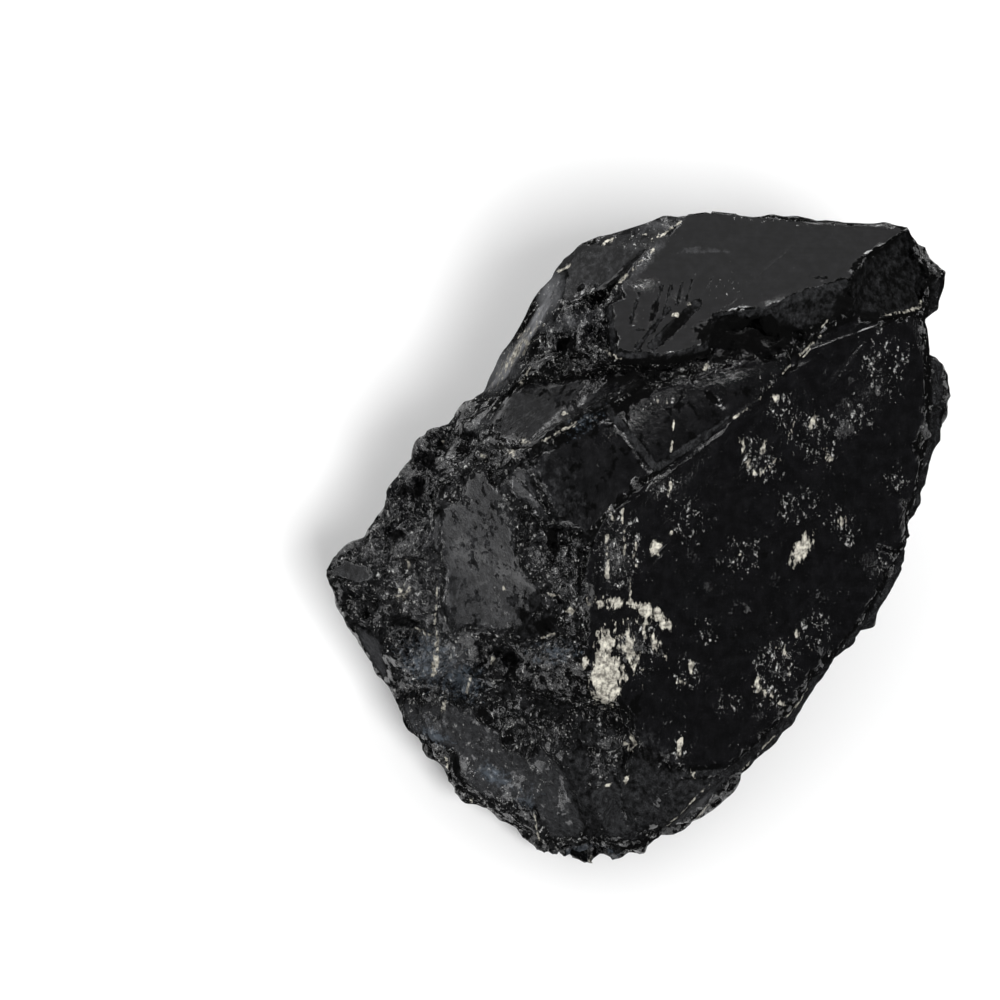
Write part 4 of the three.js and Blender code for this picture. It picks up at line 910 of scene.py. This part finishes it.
def broken_normal(tree, front, loose, hollow):
    """The shading normal: fine relief, then grains that lean where the stone is loose, then hollows."""
    normal = None
    for name, (size, stretch, detail, roughness, depth) in RELIEFS.items():
        share = add_node(tree, "Attribute", {}, attribute_name=name).outputs["Fac"]
        spread = add_node(tree, "Mapping", {"Vector": front, "Scale": stretch})
        relief = add_node(tree, "TexNoise", {
            "Vector": spread, "Scale": 1 / size, "Detail": detail, "Roughness": roughness})
        height = add_node(tree, "Math", {0: relief, 1: share}, operation="MULTIPLY")
        inputs = {"Height": height, "Strength": 1.0, "Distance": depth}
        if normal:
            inputs["Normal"] = normal
        normal = add_node(tree, "Bump", inputs)

    wobble = add_node(tree, "TexNoise", {"Vector": front, "Scale": 1 / 0.6, "Detail": 2.0})
    for width, lean, flush in GRAINS:
        bent = add_node(tree, "VectorMath", {
            0: wobble.outputs["Color"], 1: (width, width, width), 2: front}, operation="MULTIPLY_ADD")
        cell = add_node(tree, "TexVoronoi", {"Vector": bent, "Scale": 1 / width}).outputs["Color"]
        luck = add_node(tree, "SeparateColor", {"Color": cell}).outputs["Blue"]
        needed = add_node(tree, "Math", {0: luck, 1: 1 - flush, 2: flush}, operation="MULTIPLY_ADD")
        leans = add_node(tree, "Math", {0: loose, 1: needed}, operation="GREATER_THAN")
        amount = add_node(tree, "Math", {0: leans, 1: lean}, operation="MULTIPLY")
        aside = add_node(tree, "VectorMath", {0: cell, 1: (0.5, 0.5, 0.5)}, operation="SUBTRACT")
        tilt = add_node(tree, "VectorMath", {0: aside, "Scale": amount}, operation="SCALE")
        normal = add_node(tree, "VectorMath", {0: normal, 1: tilt}, operation="ADD")

    away = add_node(tree, "VectorMath", {0: UNLIT, "Scale": hollow}, operation="SCALE")
    turned = add_node(tree, "VectorMath", {0: normal, 1: away}, operation="ADD")
    return add_node(tree, "VectorMath", {0: turned}, operation="NORMALIZE")


def schorl_material(finish):
    """Schorl: glassy black, so its faces show as bright as what they mirror.

    Where it broke it is made of fine grains that glint one by one, and its pale flecks there are painted
    glints. Cream feldspar, bluish mica and a dull film lie on it in places; the film on the sliver is a
    painted reflection, the crust strokes up the crest a painted highlight, and the black in its hollows
    painted shade.
    """
    material = blank_material("schorl_black_tourmaline")
    tree = material.node_tree
    place = add_node(tree, "TexCoord", {}).outputs["Object"]
    front = add_node(tree, "Mapping", {
        "Vector": place, "Scale": (1 / MM,) * 3, "Rotation": (-LEAN, 0, 0),
        "Location": tuple(to_front(np.zeros((1, 3)))[0])})
    marks = ragged_marks(tree, front)
    noises = {}
    patches = {}
    for name, (size, detail, roughness, low, high, least) in PATCHES.items():
        noises[name] = add_node(tree, "TexNoise", {
            "Vector": front, "Scale": 1 / size, "Detail": detail, "Roughness": roughness})
        patches[name] = add_node(tree, "MapRange", {
            "Value": noises[name], "From Min": low, "From Max": high, "To Min": least})

    # Grains lean in clumps, and only where the stone is broken.
    grain = add_node(tree, "Attribute", {}, attribute_name="grain").outputs["Fac"]
    loose = add_node(tree, "Math", {0: grain, 1: patches["clump"]}, operation="MULTIPLY")
    normal = broken_normal(tree, front, loose, marks["hollow"])

    # Colour: black stone, faintly mottled, under its marks from the lowest to the crust on top.
    mineral = add_node(tree, "Mix", {
        "Factor": patches["pale"], "A": linear(MINERAL_SHADE), "B": linear(finish.mineral)},
        data_type="RGBA").outputs["Result"]
    # The hollow layer is painted shade, and the flecks are partly painted glints.
    colour = linear(finish.schorl)
    # The film is partly a painted reflection, and the crust partly a painted highlight.
    for factor, layer in (
            (patches["mottle"], linear(MOTTLED_BLACK)), (marks["hollow"], linear(HOLLOW_SHADE_BLACK)),
            (marks["bluish"], linear(finish.inclusion)), (marks["film_and_sheen"], linear(finish.film_and_sheen)),
            (marks["fleck_and_glint"], linear(FLECK_AND_GLINT_WHITE)), (marks["crust_and_highlight"], mineral)):
        colour = add_node(tree, "Mix", {
            "Factor": factor, "A": colour, "B": layer}, data_type="RGBA").outputs["Result"]

    # Roughness: mottled stone is unevenly polished, and every mark but the painted shade of the hollows is
    # dull.
    dull = marks["crust_and_highlight"]
    for name, dullness in DULLNESS.items():
        less = add_node(tree, "Math", {0: marks[name], 1: dullness}, operation="MULTIPLY")
        dull = add_node(tree, "Math", {0: dull, 1: less}, operation="MAXIMUM")
    worn = add_node(tree, "Math", {
        0: noises["mottle"], 1: MOTTLE_ROUGHNESS, 2: finish.polish - LEAST_MOTTLE},
        operation="MULTIPLY_ADD")
    roughness = add_node(tree, "Math", {
        0: dull, 1: CRUST_ROUGHNESS, 2: worn}, operation="MULTIPLY_ADD", use_clamp=True)

    shader = add_node(tree, "BsdfPrincipled", {
        "Base Color": colour, "Roughness": roughness, "Normal": normal, "IOR": finish.index})
    add_node(tree, "OutputMaterial", {"Surface": shader})
    return material


def table_material():
    """Matt white paper: even and without gloss."""
    material = blank_material("matt_white_paper")
    shader = add_node(material.node_tree, "BsdfPrincipled", {
        "Base Color": linear(PAPER_WHITE), "Roughness": 1.0, "Specular IOR Level": 0.0})
    add_node(material.node_tree, "OutputMaterial", {"Surface": shader})
    return material


# ---------------- operators


class SCHORL_OT_stone(bpy.types.Operator):
    """Adds the stone over its solid"""

    bl_idname = "schorl.stone"
    bl_label = "Add stone"

    def execute(self, context):
        piece = surface_stone(context.scene.schorl_shape)
        piece.data.materials.append(schorl_material(context.scene.schorl_finish))
        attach(piece, "root")
        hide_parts("tourmaline_stone")
        return {"FINISHED"}


def add_area(name, azimuth, elevation, size, brightness, distance=SOFTBOX_DISTANCE):
    """A square lamp that looks at the stone."""
    a = math.radians(azimuth)
    e = math.radians(elevation)
    away = Vector((math.sin(a) * math.cos(e), -math.cos(a) * math.cos(e), math.sin(e)))
    bpy.ops.object.light_add(type="AREA", location=Vector(LAMP_AIM) + away * distance)
    lamp = bpy.context.active_object
    lamp.name = name
    lamp.rotation_euler = away.to_track_quat("Z", "Y").to_euler()
    lamp.data.shape = "RECTANGLE"
    lamp.data.size, lamp.data.size_y = size
    lamp.data.energy = brightness * math.pi * size[0] * size[1]
    return lamp


class SCHORL_OT_stage(bpy.types.Operator):
    """Adds the table, the lights and the camera"""

    bl_idname = "schorl.stage"
    bl_label = "Add stage"

    def execute(self, context):
        studio = context.scene.schorl_studio
        bpy.ops.object.select_all(action="DESELECT")
        bpy.ops.mesh.primitive_plane_add(size=TABLE_SIZE)
        table = context.active_object
        table.name = "table"
        table.data.materials.append(table_material())
        table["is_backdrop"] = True

        for name, softbox in SOFTBOXES.items():
            add_area(name, *softbox)
        stone_only = bpy.data.collections.new("lit_stone")
        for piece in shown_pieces():
            stone_only.objects.link(piece)
        for name, angles in GLINT_LAMPS.items():
            lamp = add_area(name, *angles, GLINT_SIZE, GLINT_BRIGHTNESS)
            lamp.light_linking.receiver_collection = stone_only
        table_only = bpy.data.collections.new("lit_table")
        table_only.objects.link(table)
        for name, (azimuth, elevation, size, distance, setting) in TABLE_LAMPS.items():
            lamp = add_area(name, azimuth, elevation, size, getattr(studio, setting), distance)
            lamp.light_linking.receiver_collection = table_only

        world = bpy.data.worlds.new("studio_room")
        context.scene.world = world
        world.use_nodes = True
        background = world.node_tree.nodes["Background"]
        background.inputs["Color"].default_value = (1, 1, 1, 1)
        background.inputs["Strength"].default_value = studio.sky_light

        away = OUTWARD.normalized()
        bpy.ops.object.camera_add(location=from_front(*CAMERA_TARGET) + away * CAMERA_DISTANCE)
        camera = context.active_object
        camera.name = "camera"
        camera.rotation_euler = away.to_track_quat("Z", "Y").to_euler()
        camera.data.lens = CAMERA_LENS
        camera.data.sensor_width = CAMERA_SENSOR
        context.scene.camera = camera
        context.scene.view_settings.view_transform = "Standard"
        return {"FINISHED"}


class SCHORL_PT_panel(bpy.types.Panel):
    """Lists the stone's operators and settings"""

    bl_label = "Black tourmaline"
    bl_idname = "SCHORL_PT_panel"
    bl_space_type = "VIEW_3D"
    bl_region_type = "UI"
    bl_category = "Stone"

    def draw(self, context):
        layout = self.layout
        scene = context.scene
        layout.operator("schorl.stone")
        layout.operator("schorl.stage")
        for group in (scene.schorl_shape, scene.schorl_finish, scene.schorl_studio):
            box = layout.box()
            for name in group.bl_rna.properties.keys():
                if name not in {"rna_type", "name"}:
                    box.prop(group, name)


SETTINGS = {"schorl_shape": SchorlShape, "schorl_finish": SchorlFinish, "schorl_studio": SchorlStudio}
CLASSES = (*SETTINGS.values(), SCHORL_OT_stone, SCHORL_OT_stage, SCHORL_PT_panel)


def register():
    for cls in CLASSES:
        bpy.utils.register_class(cls)
    for name, settings in SETTINGS.items():
        setattr(bpy.types.Scene, name, PointerProperty(type=settings))


def unregister():
    for name in SETTINGS:
        delattr(bpy.types.Scene, name)
    for cls in reversed(CLASSES):
        bpy.utils.unregister_class(cls)


def main():
    register()
    bpy.ops.schorl.stone()
    bpy.ops.schorl.stage()


if __name__ == "__main__":
    main()
